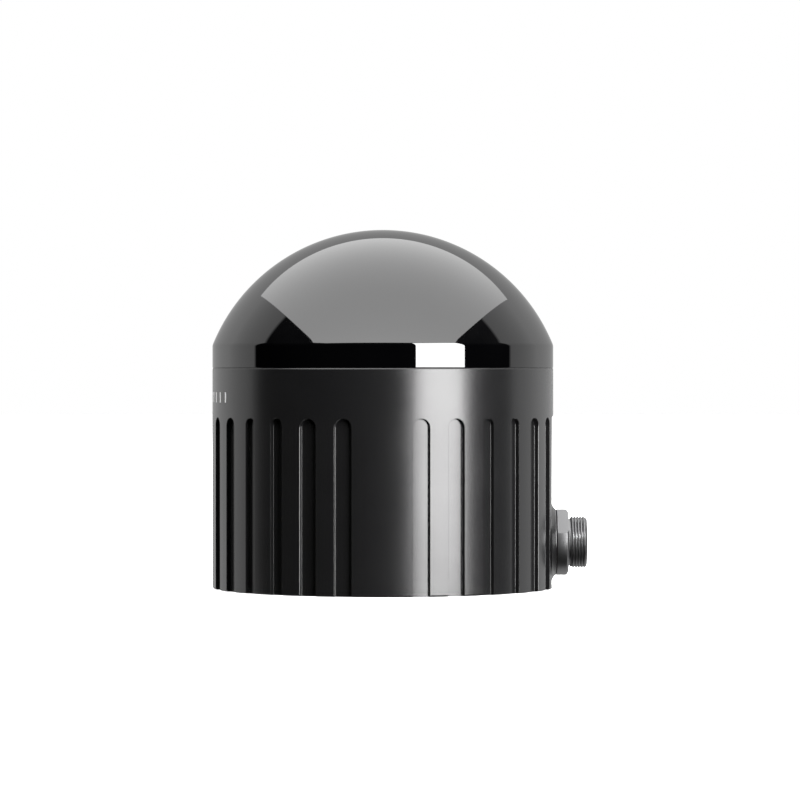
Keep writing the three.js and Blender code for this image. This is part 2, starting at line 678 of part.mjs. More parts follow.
function connectorShell() {
  const neckStart = SHELL_FLANGE_LENGTH;
  const threadStart = neckStart + NECK_LENGTH;
  const end = SHELL_END;
  const [chamferIn, chamferAlong] = SHELL_CHAMFER;
  const groove = PORT_SEAL_SECTION + SEAL_GROOVE_GAP;
  const body = turned([
    [INSERT_BORE, -BARREL_REAR],
    [BARREL_RADIUS, -BARREL_REAR],
    [BARREL_RADIUS, -PORT_SEAL_BACK - groove],
    [BARREL_RADIUS - 2 * PORT_SEAL_SECTION, -PORT_SEAL_BACK - groove],
    [BARREL_RADIUS - 2 * PORT_SEAL_SECTION, -PORT_SEAL_BACK + groove],
    [BARREL_RADIUS, -PORT_SEAL_BACK + groove],
    [BARREL_RADIUS, 0],
    [SHELL_FLANGE_RADIUS, 0],
    [SHELL_FLANGE_RADIUS, SHELL_FLANGE_LENGTH - chamferAlong],
    [SHELL_FLANGE_RADIUS - chamferIn, SHELL_FLANGE_LENGTH],
    [NECK_RADIUS, neckStart],
    [NECK_RADIUS, threadStart],
    [THREAD_RADIUS, threadStart + THREAD_CHAMFER / 2],
    [THREAD_RADIUS, end - THREAD_CHAMFER],
    [THREAD_RADIUS - THREAD_CHAMFER, end],
    [SOCKET_RADIUS, end],
    [SOCKET_RADIUS, end - SOCKET_DEPTH],
    [INSERT_BORE, end - SOCKET_DEPTH],
  ]);
  const far = SHELL_FLANGE_RADIUS + CUT_OVER;
  const flats = [0, 180].map((turn) => {
    const tool = block(SHELL_FLATS / 2, far, -far, far, SHELL_SHOULDER, SHELL_FLANGE_LENGTH + FIT_GAP);
    return tool.rotate([0, 0, turn + 90 - SHELL_FLAT_ANGLE]);
  });
  const keyRoot = -SOCKET_RADIUS - THREAD_WALL / 4;
  const key = block(keyRoot, KEY_HEIGHT - SOCKET_RADIUS, -KEY_WIDTH / 2, KEY_WIDTH / 2,
    end - SOCKET_DEPTH + SLIP_GAP, end - KEY_BACK);
  return join(cut(body, ...flats), key);
}

// The seal between the barrel and the housing's bore.
function connectorSeal() {
  return sealRing(BARREL_RADIUS + FIT_GAP - PORT_SEAL_SECTION, -PORT_SEAL_BACK, PORT_SEAL_SECTION);
}

function pinPlaces() {
  return [[0, 0, 0], ...onCircle(PIN_CIRCLE, PINS_ON_CIRCLE)];
}

function connectorInsert() {
  const plug = rod(INSERT_BORE - FIT_GAP, -BARREL_REAR, SHELL_END - SOCKET_DEPTH);
  const holes = pinPlaces().map(([x, y]) =>
    rod(PIN_RADIUS + FIT_GAP, -BARREL_REAR - CUT_OVER, SHELL_END).translate([x, y, 0]),
  );
  return cut(plug, ...holes);
}

function contactPin() {
  const tip = SHELL_END - SOCKET_DEPTH + PIN_STANDS;
  return turned([
    [0, -BARREL_REAR - PIN_TAIL],
    [PIN_RADIUS, -BARREL_REAR - PIN_TAIL],
    [PIN_RADIUS, tip - PIN_RADIUS],
    [PIN_RADIUS / 2, tip],
    [0, tip],
  ]);
}

function connectorNut() {
  const nut = prism(NUT_HEX_RADIUS, 6, 0, NUT_THICKNESS);
  return cut(nut, rod(BARREL_RADIUS + FIT_GAP, -CUT_OVER, NUT_THICKNESS + CUT_OVER));
}

// A flat printed cable from the back of the connector up to the underside of the main board.
function flexCable() {
  const half = FLEX_THICKNESS / 2;
  const x = PORT_FACE - BARREL_REAR - PIN_TAIL - SLIP_GAP - half;
  const top = BOARD_BOTTOM - SLIP_GAP - half;
  const foot = CONNECTOR_HEIGHT - FLEX_DROP;
  const end = x - FLEX_BEND - FLEX_TAB;
  const strip = new THREE.Shape();
  strip.moveTo(x - half, foot);
  strip.lineTo(x + half, foot);
  strip.lineTo(x + half, top - FLEX_BEND);
  strip.absarc(x - FLEX_BEND, top - FLEX_BEND, FLEX_BEND + half, 0, Math.PI / 2, false);
  strip.lineTo(end, top + half);
  strip.lineTo(end, top - half);
  strip.lineTo(x - FLEX_BEND, top - half);
  strip.absarc(x - FLEX_BEND, top - FLEX_BEND, FLEX_BEND - half, Math.PI / 2, 0, true);
  strip.closePath();
  return raised(strip, -FLEX_WIDTH / 2, FLEX_WIDTH / 2, 6).rotate([90, 0, 0]);
}

// ---------------------------------------------------------------- electronics

function mainBoard() {
  const board = rod(MAIN_BOARD_RADIUS, BOARD_BOTTOM, BOARD_TOP);
  const holes = onCircle(POST_CIRCLE, POSTS, 90).map(([x, y]) =>
    rod(POST_SCREW_RADIUS, BOARD_BOTTOM - CUT_OVER, BOARD_TOP + CUT_OVER).translate([x, y, 0]),
  );
  return cut(board, ...holes);
}

function chip(size, height) {
  const half = size / 2;
  return block(-half, half, -half, half, 0, height);
}

function transformer() {
  const [x, y, z] = TRANSFORMER_SIZE;
  return block(-x / 2, x / 2, -y / 2, y / 2, -z, 0);
}

function boardPost() {
  return prism(POST_RADIUS, 6, BOARD_TOP, DECK_BOTTOM);
}

// ---------------------------------------------------------------- spindle, bearings and motor

function spindle() {
  return turned([
    [SPINDLE_BORE, DECK_BOTTOM - SPINDLE_FLANGE_THICKNESS],
    [SPINDLE_FLANGE_RADIUS, DECK_BOTTOM - SPINDLE_FLANGE_THICKNESS],
    [SPINDLE_FLANGE_RADIUS, DECK_BOTTOM],
    [SPINDLE_RADIUS, DECK_BOTTOM],
    [SPINDLE_RADIUS, DECK_TOP + FIT_GAP],
    [SPINDLE_RADIUS + RACE_WALL, DECK_TOP + FIT_GAP],
    [SPINDLE_RADIUS + RACE_WALL, LOWER_BEARING],
    [SPINDLE_RADIUS, LOWER_BEARING],
    [SPINDLE_RADIUS, SPINDLE_TOP],
    [SPINDLE_BORE, SPINDLE_TOP],
  ]);
}

// The inner race with the groove its balls run in.
function innerRace(bottom) {
  const out = INNER_RACE + RACE_WALL;
  const middle = bottom + BEARING_WIDTH / 2;
  return turned([
    [INNER_RACE, bottom],
    [out, bottom],
    [out, middle - RACE_GROOVE_HALF],
    [out - RACE_GROOVE, middle],
    [out, middle + RACE_GROOVE_HALF],
    [out, bottom + BEARING_WIDTH],
    [INNER_RACE, bottom + BEARING_WIDTH],
  ]);
}

function outerRace(bottom) {
  const inside = OUTER_RACE - RACE_WALL;
  const middle = bottom + BEARING_WIDTH / 2;
  return turned([
    [inside, bottom],
    [OUTER_RACE, bottom],
    [OUTER_RACE, bottom + BEARING_WIDTH],
    [inside, bottom + BEARING_WIDTH],
    [inside, middle + RACE_GROOVE_HALF],
    [inside + RACE_GROOVE, middle],
    [inside, middle - RACE_GROOVE_HALF],
  ]);
}

// The balls of one bearing, held at their spacing by a thin ring.
function ballCage(bottom) {
  const middle = bottom + BEARING_WIDTH / 2;
  const radius = INNER_RACE + RACE_WALL + BALL_GAP / 2;
  const ring = tube(radius + CAGE_HALF, radius - CAGE_HALF, middle - CAGE_HALF, middle + CAGE_HALF);
  const balls = onCircle(radius, BALLS).map(([x, y]) =>
    solid(new THREE.IcosahedronGeometry(BALL_RADIUS, 0)).translate([x, y, middle]),
  );
  return join(ring, ...balls);
}

function spindleNut() {
  const nut = prism(INNER_RACE + RACE_WALL, 6, BEARINGS_TOP, SPINDLE_TOP);
  return cut(nut, rod(SPINDLE_RADIUS + FIT_GAP, BEARINGS_TOP - CUT_OVER, SPINDLE_TOP + CUT_OVER));
}

function rotorHub() {
  const shelf = HUB_BORE - RACE_WALL;
  const seatTop = LOWER_BEARING + BEARING_WIDTH + FIT_GAP;
  return turned([
    [HUB_BORE, HUB_BOTTOM],
    [HUB_RADIUS, HUB_BOTTOM],
    [HUB_RADIUS, PLATFORM_BOTTOM - HUB_FLANGE_THICKNESS],
    [HUB_FLANGE_RADIUS, PLATFORM_BOTTOM - HUB_FLANGE_THICKNESS],
    [HUB_FLANGE_RADIUS, PLATFORM_BOTTOM],
    [HUB_RADIUS, PLATFORM_BOTTOM],
    [HUB_RADIUS, PLATFORM_BOTTOM + HUB_LIP],
    [HUB_BORE, PLATFORM_BOTTOM + HUB_LIP],
    [HUB_BORE, UPPER_BEARING - FIT_GAP],
    [shelf, UPPER_BEARING - FIT_GAP],
    [shelf, seatTop],
    [HUB_BORE, seatTop],
  ]);
}

function magnetRing() {
  return tube(MAGNET_RADIUS, HUB_RADIUS + FIT_GAP, MAGNET_BOTTOM, MAGNET_BOTTOM + MAGNET_HEIGHT);
}

// The laminated core: a yoke with teeth that spread at their tips.
function statorCore() {
  const top = CORE_BOTTOM + CORE_HEIGHT;
  const yoke = tube(CORE_RADIUS, YOKE_BORE, CORE_BOTTOM, top);
  const half = TOOTH_WIDTH / 2;
  const tipHalf = half + SHOE_SIDE;
  const teeth = onCircle(1, TEETH).map(([, , angle]) => {
    const stem = block(CORE_BORE, YOKE_BORE + ROOT_OVERLAP, -half, half, CORE_BOTTOM, top);
    const shoe = block(CORE_BORE - CUT_OVER, CORE_BORE + SHOE_DEPTH, -tipHalf, tipHalf, CORE_BOTTOM, top);
    return swung(join(stem, shoe), angle);
  });
  return cut(join(yoke, ...teeth), rod(CORE_BORE, CORE_BOTTOM - CUT_OVER, top + CUT_OVER));
}

// One coil on each tooth, all held by a ring of insulation above and below the core.
function statorWinding() {
  const bottom = CORE_BOTTOM - COIL_GAP;
  const top = CORE_BOTTOM + CORE_HEIGHT + COIL_GAP;
  const inner = CORE_BORE + SHOE_DEPTH + COIL_GAP;
  const hole = TOOTH_WIDTH / 2 + COIL_GAP;
  const half = hole + COIL_THICKNESS;
  const outer = Math.sqrt((YOKE_BORE - 3 * COIL_GAP) ** 2 - half ** 2);
  const coils = onCircle(1, TEETH).map(([, , angle]) => {
    const wound = block(inner, outer, -half, half, bottom - COIL_THICKNESS, top + COIL_THICKNESS);
    const tooth = block(inner - CUT_OVER, outer + CUT_OVER, -hole, hole, bottom, top);
    return swung(cut(wound, tooth), angle);
  });
  const upper = tube(outer, outer - COIL_RING_WIDTH, top, top + COIL_THICKNESS);
  const lower = tube(outer, outer - COIL_RING_WIDTH, bottom - COIL_THICKNESS, bottom);
  return join(upper, lower, ...coils);
}

function fixedPowerCoil() {
  return tube(COIL_RADIUS, SPINDLE_RADIUS + RACE_WALL + AIR_GAP, DECK_TOP, DECK_TOP + COIL_HEIGHT);
}

function rotorPowerCoil() {
  return tube(COIL_RADIUS, HUB_RADIUS + FIT_GAP, HUB_BOTTOM, HUB_BOTTOM + COIL_HEIGHT);
}

// ---------------------------------------------------------------- rotor platform

function codeDisc() {
  const top = PLATFORM_BOTTOM;
  const bottom = top - CODE_DISC_THICKNESS;
  const disc = tube(CODE_DISC_RADIUS, HUB_FLANGE_RADIUS + SLIP_GAP, bottom, top);
  const middle = CODE_DISC_RADIUS - CODE_SLOT_LENGTH;
  const half = CODE_SLOT_WIDTH / 2;
  const slots = onCircle(1, CODE_SLOTS).map(([, , angle]) => {
    const slot = block(middle - CODE_SLOT_LENGTH / 2, middle + CODE_SLOT_LENGTH / 2, -half, half,
      bottom - CUT_OVER, top + CUT_OVER);
    return swung(slot, angle);
  });
  return cut(disc, ...slots);
}

// The light sensor that reads the disc, on a stalk from the deck.
function codeReader() {
  const [deep, wide] = READER_SIZE;
  const half = wide / 2;
  const outer = CODE_DISC_RADIUS - CODE_SLOT_LENGTH + deep / 2;
  const top = PLATFORM_BOTTOM - CODE_DISC_THICKNESS - AIR_GAP;
  const stalk = block(outer - READER_WALL, outer, -half, half, DECK_TOP, top);
  const eye = block(outer - deep, outer, -half, half, top - READER_EYE, top);
  const inner = STATOR_SEAT_RADIUS + SLIP_GAP;
  const foot = block(inner, outer, -half, half, DECK_TOP, DECK_TOP + READER_WALL);
  return join(stalk, eye, foot).rotate([0, 0, READER_ANGLE]);
}

function boardPads() {
  return onCircle(ROTOR_BOARD_RADIUS - ROTOR_PAD_INSET, ROTOR_PADS, 60).map(([x, y]) =>
    rod(ROTOR_PAD_RADIUS, PLATFORM_TOP - ROOT_OVERLAP, ROTOR_BOARD_BOTTOM).translate([x, y, 0]),
  );
}

function rotorPlatform() {
  const plate = tube(PLATFORM_RADIUS, HUB_RADIUS + FIT_GAP, PLATFORM_BOTTOM, PLATFORM_TOP);
  return join(plate, ...boardPads());
}

function rotorBoard() {
  return rod(ROTOR_BOARD_RADIUS, ROTOR_BOARD_BOTTOM, ROTOR_BOARD_BOTTOM + ROTOR_BOARD_THICKNESS);
}

// The balance weight: part of a ring on the far side from the lenses.
function balanceWeight() {
  const outer = PLATFORM_RADIUS - WEIGHT_INSET;
  const inner = outer - WEIGHT_WIDTH;
  const half = radians(WEIGHT_ARC / 2);
  const arc = new THREE.Shape();
  arc.absarc(0, 0, outer, Math.PI - half, Math.PI + half, false);
  arc.absarc(0, 0, inner, Math.PI + half, Math.PI - half, true);
  arc.closePath();
  return raised(arc, PLATFORM_TOP, PLATFORM_TOP + WEIGHT_HEIGHT, 16);
}

// ---------------------------------------------------------------- optical head

// The head is drawn level, looking along its own +X, and its group tilts it up.
const head = new THREE.Group();
head.position.set(0, 0, HEAD_CENTRE);
head.rotation.set(0, -radians(HEAD_TILT), 0);
rotor.add(head);

// The space the dome leaves for the head, in the head's own frame.
function headSpace() {
  const drop = HEAD_CENTRE - DOME_CENTRE;
  const tilt = radians(HEAD_TILT);
  return ball(HEAD_REACH).translate([-drop * Math.sin(tilt), 0, -drop * Math.cos(tilt)]);
}

function alongX(made) {
  return made.rotate([0, 90, 0]);
}

function lensPlaces() {
  return [-LENS_SPACING / 2, LENS_SPACING / 2];
}

// The block that holds both tubes.
function lensHolder() {
  const half = HOLDER_THICKNESS / 2;
  const plate = block(-half, half, -CHEEK_INNER, CHEEK_INNER, -HOLDER_HALF_HEIGHT, HOLDER_HALF_HEIGHT);
  const seats = lensPlaces().map((y) =>
    alongX(rod(TUBE_SEAT, -half - CUT_OVER, half + CUT_OVER)).translate([0, y, 0]),
  );
  return cut(plate.intersect(headSpace()), ...seats);
}

// The two side plates that stand the head on the platform, drawn upright.
function cheek(side) {
  const top = HEAD_STANDS + CHEEK_TOP_RISE;
  const outline = new THREE.Shape();
  outline.moveTo(-CHEEK_HALF_LENGTH, 0);
  outline.lineTo(CHEEK_HALF_LENGTH, 0);
  outline.lineTo(CHEEK_TOP_HALF, top - CHEEK_TOP_HALF);
  outline.absarc(0, top - CHEEK_TOP_HALF, CHEEK_TOP_HALF, 0, Math.PI, false);
  outline.closePath();
  const plate = raised(outline, 0, CHEEK_THICKNESS).rotate([90, 0, 0]);
  const y = side > 0 ? CHEEK_INNER + CHEEK_THICKNESS + SLIP_GAP : -CHEEK_INNER - SLIP_GAP;
  const room = ball(HEAD_REACH).translate([0, 0, DOME_CENTRE]);
  return plate.translate([0, y, PLATFORM_TOP]).intersect(room);
}

// Where the flat back of the lens sits in its tube.
const LENS_BACK = TUBE_FRONT - LENS_SUNK - LENS_THICKNESS;

function lensTube() {
  const body = tube(TUBE_RADIUS, TUBE_RADIUS - TUBE_WALL, -TUBE_BACK, TUBE_FRONT);
  const shelfTop = LENS_BACK - CONTACT_GAP;
  const shelf = tube(TUBE_RADIUS - TUBE_WALL / 2, TUBE_RADIUS - 2 * TUBE_WALL,
    shelfTop - LENS_SHELF, shelfTop);
  return alongX(join(body, shelf));
}

// A lens with a flat back and a crowned front.
function lens() {
  const radius = TUBE_RADIUS - TUBE_WALL - FIT_GAP;
  const edge = LENS_BACK + LENS_THICKNESS - LENS_CROWN;
  const steps = 5;
  const crown = Array.from({ length: steps + 1 }, (_, i) => {
    const share = 1 - i / steps;
    return [radius * share, edge + LENS_CROWN * (1 - share ** 2)];
  });
  return alongX(turned([[0, LENS_BACK], [radius, LENS_BACK], ...crown]));
}

function opticBoard() {
  const back = -TUBE_BACK - SLIP_GAP;
  const half = OPTIC_BOARD_HALF;
  return block(back - OPTIC_BOARD_THICKNESS, back, -half, half, -half, half);
}

// The light trap between the two lenses.
function lightShield() {
  const near = HOLDER_THICKNESS / 2 + SLIP_GAP;
  const half = SHIELD_THICKNESS / 2;
  const plate = block(near, near + SHIELD_REACH, -half, half, -SHIELD_HALF_HEIGHT, SHIELD_HALF_HEIGHT);
  return plate.intersect(headSpace());
}

// ---------------------------------------------------------------- assembly

put(fixed, "main_housing", mainHousing(), FINISH.anodised);
put(fixed, "dome_window", domeWindow(), FINISH.window);
put(fixed, "dome_seal_ring", domeSeal(), FINISH.rubber);
put(fixed, "base_cover", baseCover(), FINISH.anodised);
put(fixed, "base_seal_ring", baseSeal(), FINISH.rubber);
put(fixed, "vent_plug", ventPlug(), FINISH.plastic, [-VENT_OFFSET, 0, HEAD_SUNK]);
coverScrewPlaces().forEach(([x, y, angle], i) => {
  put(fixed, `base_screw_${i + 1}`, coverScrew(), FINISH.blackSteel, [x, y, HEAD_SUNK], [0, 0, angle]);
});

const connector = new THREE.Group();
connector.position.set(PORT_FACE + CONTACT_GAP, 0, CONNECTOR_HEIGHT);
connector.rotation.set(0, Math.PI / 2, 0);
fixed.add(connector);
put(connector, "connector_shell", connectorShell(), FINISH.nickel);
put(connector, "connector_seal_ring", connectorSeal(), FINISH.rubber);
put(connector, "connector_insert", connectorInsert(), FINISH.plastic);
const nutPlace = PORT_PAD - PORT_FACE - NUT_THICKNESS - 2 * CONTACT_GAP;
put(connector, "connector_nut", connectorNut(), FINISH.nickel, [0, 0, nutPlace]);
pinPlaces().forEach(([x, y], i) => {
  put(connector, `contact_pin_${i + 1}`, contactPin(), FINISH.gold, [x, y, 0]);
});
put(fixed, "connector_flex", flexCable(), FINISH.film);

put(fixed, "main_board", mainBoard(), FINISH.board);
const padHeight = DECK_BOTTOM - BOARD_TOP - CHIP_HEIGHT;
const padPlace = [...PROCESSOR_PLACE, BOARD_TOP + CHIP_HEIGHT];
put(fixed, "processor_chip", chip(PROCESSOR_SIZE, CHIP_HEIGHT), FINISH.chip, [...PROCESSOR_PLACE, BOARD_TOP]);
put(fixed, "thermal_pad", chip(PROCESSOR_SIZE, padHeight), FINISH.pad, padPlace);
put(fixed, "memory_chip", chip(MEMORY_SIZE, CHIP_HEIGHT), FINISH.chip, [...MEMORY_PLACE, BOARD_TOP]);
put(fixed, "network_transformer", transformer(), FINISH.chip, [...TRANSFORMER_PLACE, BOARD_BOTTOM]);
onCircle(POST_CIRCLE, POSTS, 90).forEach(([x, y], i) => {
  put(fixed, `board_post_${i + 1}`, boardPost(), FINISH.steel, [x, y, 0]);
});

put(fixed, "spindle", spindle(), FINISH.steel);
put(fixed, "lower_bearing_inner_race", innerRace(LOWER_BEARING), FINISH.steel);
put(fixed, "upper_bearing_inner_race", innerRace(UPPER_BEARING), FINISH.steel);
put(fixed, "spindle_nut", spindleNut(), FINISH.steel);
put(fixed, "stator_core", statorCore(), FINISH.magnet);
put(fixed, "stator_winding", statorWinding(), FINISH.copper);
put(fixed, "fixed_power_coil", fixedPowerCoil(), FINISH.copper);
put(fixed, "code_reader", codeReader(), FINISH.chip);
put(fixed, "data_link_emitter", rod(LINK_RADIUS, 0, LINK_HEIGHT), FINISH.glass, [0, 0, BOARD_TOP]);

put(fixed, "lower_bearing_balls", ballCage(LOWER_BEARING), FINISH.steel);
put(fixed, "upper_bearing_balls", ballCage(UPPER_BEARING), FINISH.steel);

put(rotor, "lower_bearing_outer_race", outerRace(LOWER_BEARING), FINISH.steel);
put(rotor, "upper_bearing_outer_race", outerRace(UPPER_BEARING), FINISH.steel);
put(rotor, "rotor_hub", rotorHub(), FINISH.alloy);
put(rotor, "magnet_ring", magnetRing(), FINISH.magnet);
put(rotor, "rotor_power_coil", rotorPowerCoil(), FINISH.copper);
put(rotor, "code_disc", codeDisc(), FINISH.steel);
put(rotor, "rotor_platform", rotorPlatform(), FINISH.alloy);
put(rotor, "rotor_board", rotorBoard(), FINISH.board);
const linkReceiver = rod(LINK_RADIUS, SPINDLE_TOP + AIR_GAP, ROTOR_BOARD_BOTTOM);
put(rotor, "data_link_receiver", linkReceiver, FINISH.glass);
put(rotor, "balance_weight", balanceWeight(), FINISH.magnet);
put(rotor, "head_cheek_left", cheek(1), FINISH.alloy);
put(rotor, "head_cheek_right", cheek(-1), FINISH.alloy);
put(head, "lens_holder", lensHolder(), FINISH.alloy);
["transmitter", "receiver"].forEach((kind, i) => {
  const y = lensPlaces()[i];
  put(head, `${kind}_tube`, lensTube(), FINISH.plastic, [0, y, 0]);
  put(head, `${kind}_lens`, lens(), FINISH.glass, [0, y, 0]);
  put(head, `${kind}_board`, opticBoard(), FINISH.board, [0, y, 0]);
});
put(head, "light_shield", lightShield(), FINISH.plastic);

export default lidar;
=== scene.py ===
# %% [markdown]
# # A scanning lidar module
#
# A lidar measures distance with light. This one spins a small optical head under a gloss dome, on
# top of a round finned housing that holds its motor and electronics. A CAD frame already holds every
# piece at its true size. This notebook gives each piece the shape and finish of the real thing.

# %% Load the frame
import json
import math

import bmesh
import bpy
from mathutils import Matrix, Vector


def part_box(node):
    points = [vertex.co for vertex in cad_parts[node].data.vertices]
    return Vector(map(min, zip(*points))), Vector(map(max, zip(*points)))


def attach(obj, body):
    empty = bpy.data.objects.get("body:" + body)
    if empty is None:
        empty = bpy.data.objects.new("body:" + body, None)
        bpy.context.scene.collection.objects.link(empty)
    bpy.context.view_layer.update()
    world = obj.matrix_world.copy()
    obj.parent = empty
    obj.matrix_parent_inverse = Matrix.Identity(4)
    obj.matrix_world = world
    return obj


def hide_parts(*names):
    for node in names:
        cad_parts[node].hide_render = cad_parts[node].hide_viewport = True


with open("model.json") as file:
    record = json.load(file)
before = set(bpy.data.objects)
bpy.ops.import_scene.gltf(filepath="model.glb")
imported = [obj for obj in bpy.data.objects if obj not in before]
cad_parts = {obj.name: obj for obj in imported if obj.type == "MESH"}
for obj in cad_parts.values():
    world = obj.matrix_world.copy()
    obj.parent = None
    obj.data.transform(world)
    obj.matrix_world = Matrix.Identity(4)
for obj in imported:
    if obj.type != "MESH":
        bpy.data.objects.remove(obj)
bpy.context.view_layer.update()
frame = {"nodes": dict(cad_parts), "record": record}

# %% [markdown]
# ## Sizes
#
# Blender works in metres, but a part this small is easier to read in millimetres. So each shape is
# drawn in millimetres and scaled once, when it is finished. The overall sizes are read from the frame,
# and the small ones are those that the CAD model was drawn with.

# %% Overall sizes, in millimetres
MM = 0.001


def span(node):
    """Lowest and highest corner of a CAD node, in millimetres."""
    low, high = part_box(node)
    return low / MM, high / MM


BODY_RADIUS = round(span("main_housing")[1].y, 2)
HOUSING_HEIGHT = round(span("main_housing")[1].z, 2)
DOME_TOP = round(span("dome_window")[1].z, 2)
DOME_RIM = 4.0
SLOT_FLOOR = BODY_RADIUS - 0.8
LIP_SEAT_RADIUS = BODY_RADIUS - 2.8
BORE_RADIUS = SLOT_FLOOR - 4.2
SLOT_TOP = HOUSING_HEIGHT - 8.6
DECK_TOP = HOUSING_HEIGHT - 16.6
DECK_BOTTOM = DECK_TOP - 2.5
CONNECTOR_HEIGHT = 8.0
SHELL_START = round(span("connector_shell")[1].x, 2) - 5.35
print("body radius", BODY_RADIUS, "housing", HOUSING_HEIGHT, "dome top", DOME_TOP)
print("connector flange starts at x =", round(SHELL_START, 2))

# %% [markdown]
# ## A lathe
#
# Most of this object is turned work, so the first tool is a lathe. A profile is a list of points,
# each a radius and a height, and a third number rounds that corner. Real edges are never perfectly
# sharp. A rounding of a tenth of a millimetre is what catches the light.

# %% Round the corners of a profile
def soften(profile, steps=3):
    """A closed profile of (radius, height) or (radius, height, rounding), with its corners rounded."""
    made = []
    for i, point in enumerate(profile):
        corner = Vector(point[:2])
        if len(point) == 2:
            made.append(corner)
            continue
        back = (Vector(profile[i - 1][:2]) - corner).normalized()
        ahead = (Vector(profile[(i + 1) % len(profile)][:2]) - corner).normalized()
        half = back.angle(ahead) / 2
        centre = corner + (back + ahead).normalized() * point[2] / math.sin(half)
        reach = point[2] / math.tan(half)
        start = corner + back * reach - centre
        end = corner + ahead * reach - centre
        first = math.atan2(start.y, start.x)
        turn = (math.atan2(end.y, end.x) - first + math.pi) % (2 * math.pi) - math.pi
        for step in range(steps + 1):
            angle = first + turn * step / steps
            made.append(centre + point[2] * Vector((math.cos(angle), math.sin(angle))))
    return made


# %% Turn a profile about Z
def new_piece(name, made):
    """A bmesh as a new object, its faces pointing outwards."""
    bmesh.ops.recalc_face_normals(made, faces=made.faces)
    mesh = bpy.data.meshes.new(name)
    made.to_mesh(mesh)
    made.free()
    piece = bpy.data.objects.new(name, mesh)
    bpy.context.scene.collection.objects.link(piece)
    return piece


def lathe(name, profile, segments=192, steps=3):
    """A closed profile turned about Z. A point on the axis becomes a pole."""
    made = bmesh.new()
    rings = []
    for radius, height in soften(profile, steps):
        count = segments if radius > 1e-6 else 1
        turns = [2 * math.pi * i / segments for i in range(count)]
        rings.append([made.verts.new((radius * math.cos(a), radius * math.sin(a), height)) for a in turns])
    for near, far in zip(rings, rings[1:] + rings[:1]):
        if len(near) == 1 and len(far) == 1:
            continue
        for i in range(segments):
            j = (i + 1) % segments
            corners = [near[i % len(near)], near[j % len(near)], far[j % len(far)], far[i % len(far)]]
            made.faces.new(dict.fromkeys(corners))
    return new_piece(name, made)


# %% [markdown]
# ## A stack of outlines
#
# Slots, keys and chips aren't round. Each is an outline drawn at several depths, and skinned from
# one to the next. Growing or shrinking the outline between two depths makes a chamfer or a fillet.

# %% Skin a stack of outlines
def stack(name, levels, strips=False):
    """Levels are (depth, [(x, y), ...]), all with the same number of points, skinned along Z.

    With strips, both ends are closed by strips between the outline's first half and its second."""
    made = bmesh.new()
    rings = [[made.verts.new((x, y, depth)) for x, y in outline] for depth, outline in levels]
    for ring in (rings[0], rings[-1]):
        count = len(ring)
        if not strips:
            made.faces.new(ring)
            continue
        for i in range(count // 2 - 1):
            made.faces.new((ring[i], ring[i + 1], ring[count - 2 - i], ring[count - 1 - i]))
    for near, far in zip(rings, rings[1:]):
        for i in range(len(near)):
            j = (i + 1) % len(near)
            made.faces.new((near[i], near[j], far[j], far[i]))
    return new_piece(name, made)


def box(name, low, high, edge=0.0):
    """A block between two corners, with its edges rounded."""
    made = bmesh.new()
    bmesh.ops.create_cube(made, size=1)
    for vertex in made.verts:
        vertex.co = [l + (c + 0.5) * (h - l) for l, h, c in zip(low, high, vertex.co)]
    if edge:
        bmesh.ops.bevel(made, geom=made.edges[:], offset=edge, segments=2, affect="EDGES", profile=0.5)
    return new_piece(name, made)


# %% [markdown]
# ## Cutting and joining
#
# A boolean modifier subtracts one closed mesh from another. The manifold solver is fast and leaves a
# closed mesh. Here each modifier is turned into the piece's own mesh straight away, which leaves
# nothing live for later steps to trip over.

# %% Settle modifiers, combine pieces
def settle(piece):
    """Turns a piece's live modifiers into its own mesh."""
    bpy.context.view_layer.update()
    graph = bpy.context.evaluated_depsgraph_get()
    mesh = bpy.data.meshes.new_from_object(piece.evaluated_get(graph))
    piece.modifiers.clear()
    piece.data = mesh
    return piece


def combine(base, tools, operation="DIFFERENCE"):
    """Cuts the tools from the base, or joins them to it, and removes them."""
    for tool in tools:
        boolean = base.modifiers.new("combine", "BOOLEAN")
        boolean.operation = operation
        boolean.solver = "MANIFOLD"
        boolean.object = tool
    settle(base)
    for tool in tools:
        bpy.data.objects.remove(tool)
    return base


def moved(piece, matrix):
    """Moves a piece by changing its mesh, so that its object stays at the origin."""
    piece.data.transform(matrix)
    return piece


def joined(name, pieces):
    """Several pieces as one object."""
    made = bmesh.new()
    for piece in pieces:
        made.from_mesh(piece.data)
    for piece in pieces:
        bpy.data.objects.remove(piece)
    return new_piece(name, made)


# %% [markdown]
# ## Geometry Nodes helpers
#
# A node tree is made of nodes, and links between their sockets. Writing it in Python is clearer with
# two small helpers: one adds a node and feeds its inputs, and one does arithmetic. A modifier's inputs
# have to be set by each socket's identifier, and before the object is first evaluated.

# %% Build and run node trees
def add(tree, kind, feeds=None, **settings):
    """A new node. Each feed is a value, or the output of another node."""
    made = tree.nodes.new(kind)
    for key, value in settings.items():
        setattr(made, key, value)
    for key, value in (feeds or {}).items():
        if isinstance(value, bpy.types.NodeSocket):
            tree.links.new(value, made.inputs[key])
        else:
            made.inputs[key].default_value = value
    return made


def sums(tree, operation, *values):
    """One step of arithmetic, for numbers."""
    return add(tree, "ShaderNodeMath", dict(enumerate(values)), operation=operation).outputs[0]


def new_tree(name, inputs):
    """A geometry tree with a Geometry input and output, and its named inputs."""
    tree = bpy.data.node_groups.new(name, "GeometryNodeTree")
    tree.interface.new_socket("Geometry", in_out="INPUT", socket_type="NodeSocketGeometry")
    for label, kind in inputs.items():
        tree.interface.new_socket(label, in_out="INPUT", socket_type=f"NodeSocket{kind}")
    tree.interface.new_socket("Geometry", in_out="OUTPUT", socket_type="NodeSocketGeometry")
    return tree, add(tree, "NodeGroupInput").outputs


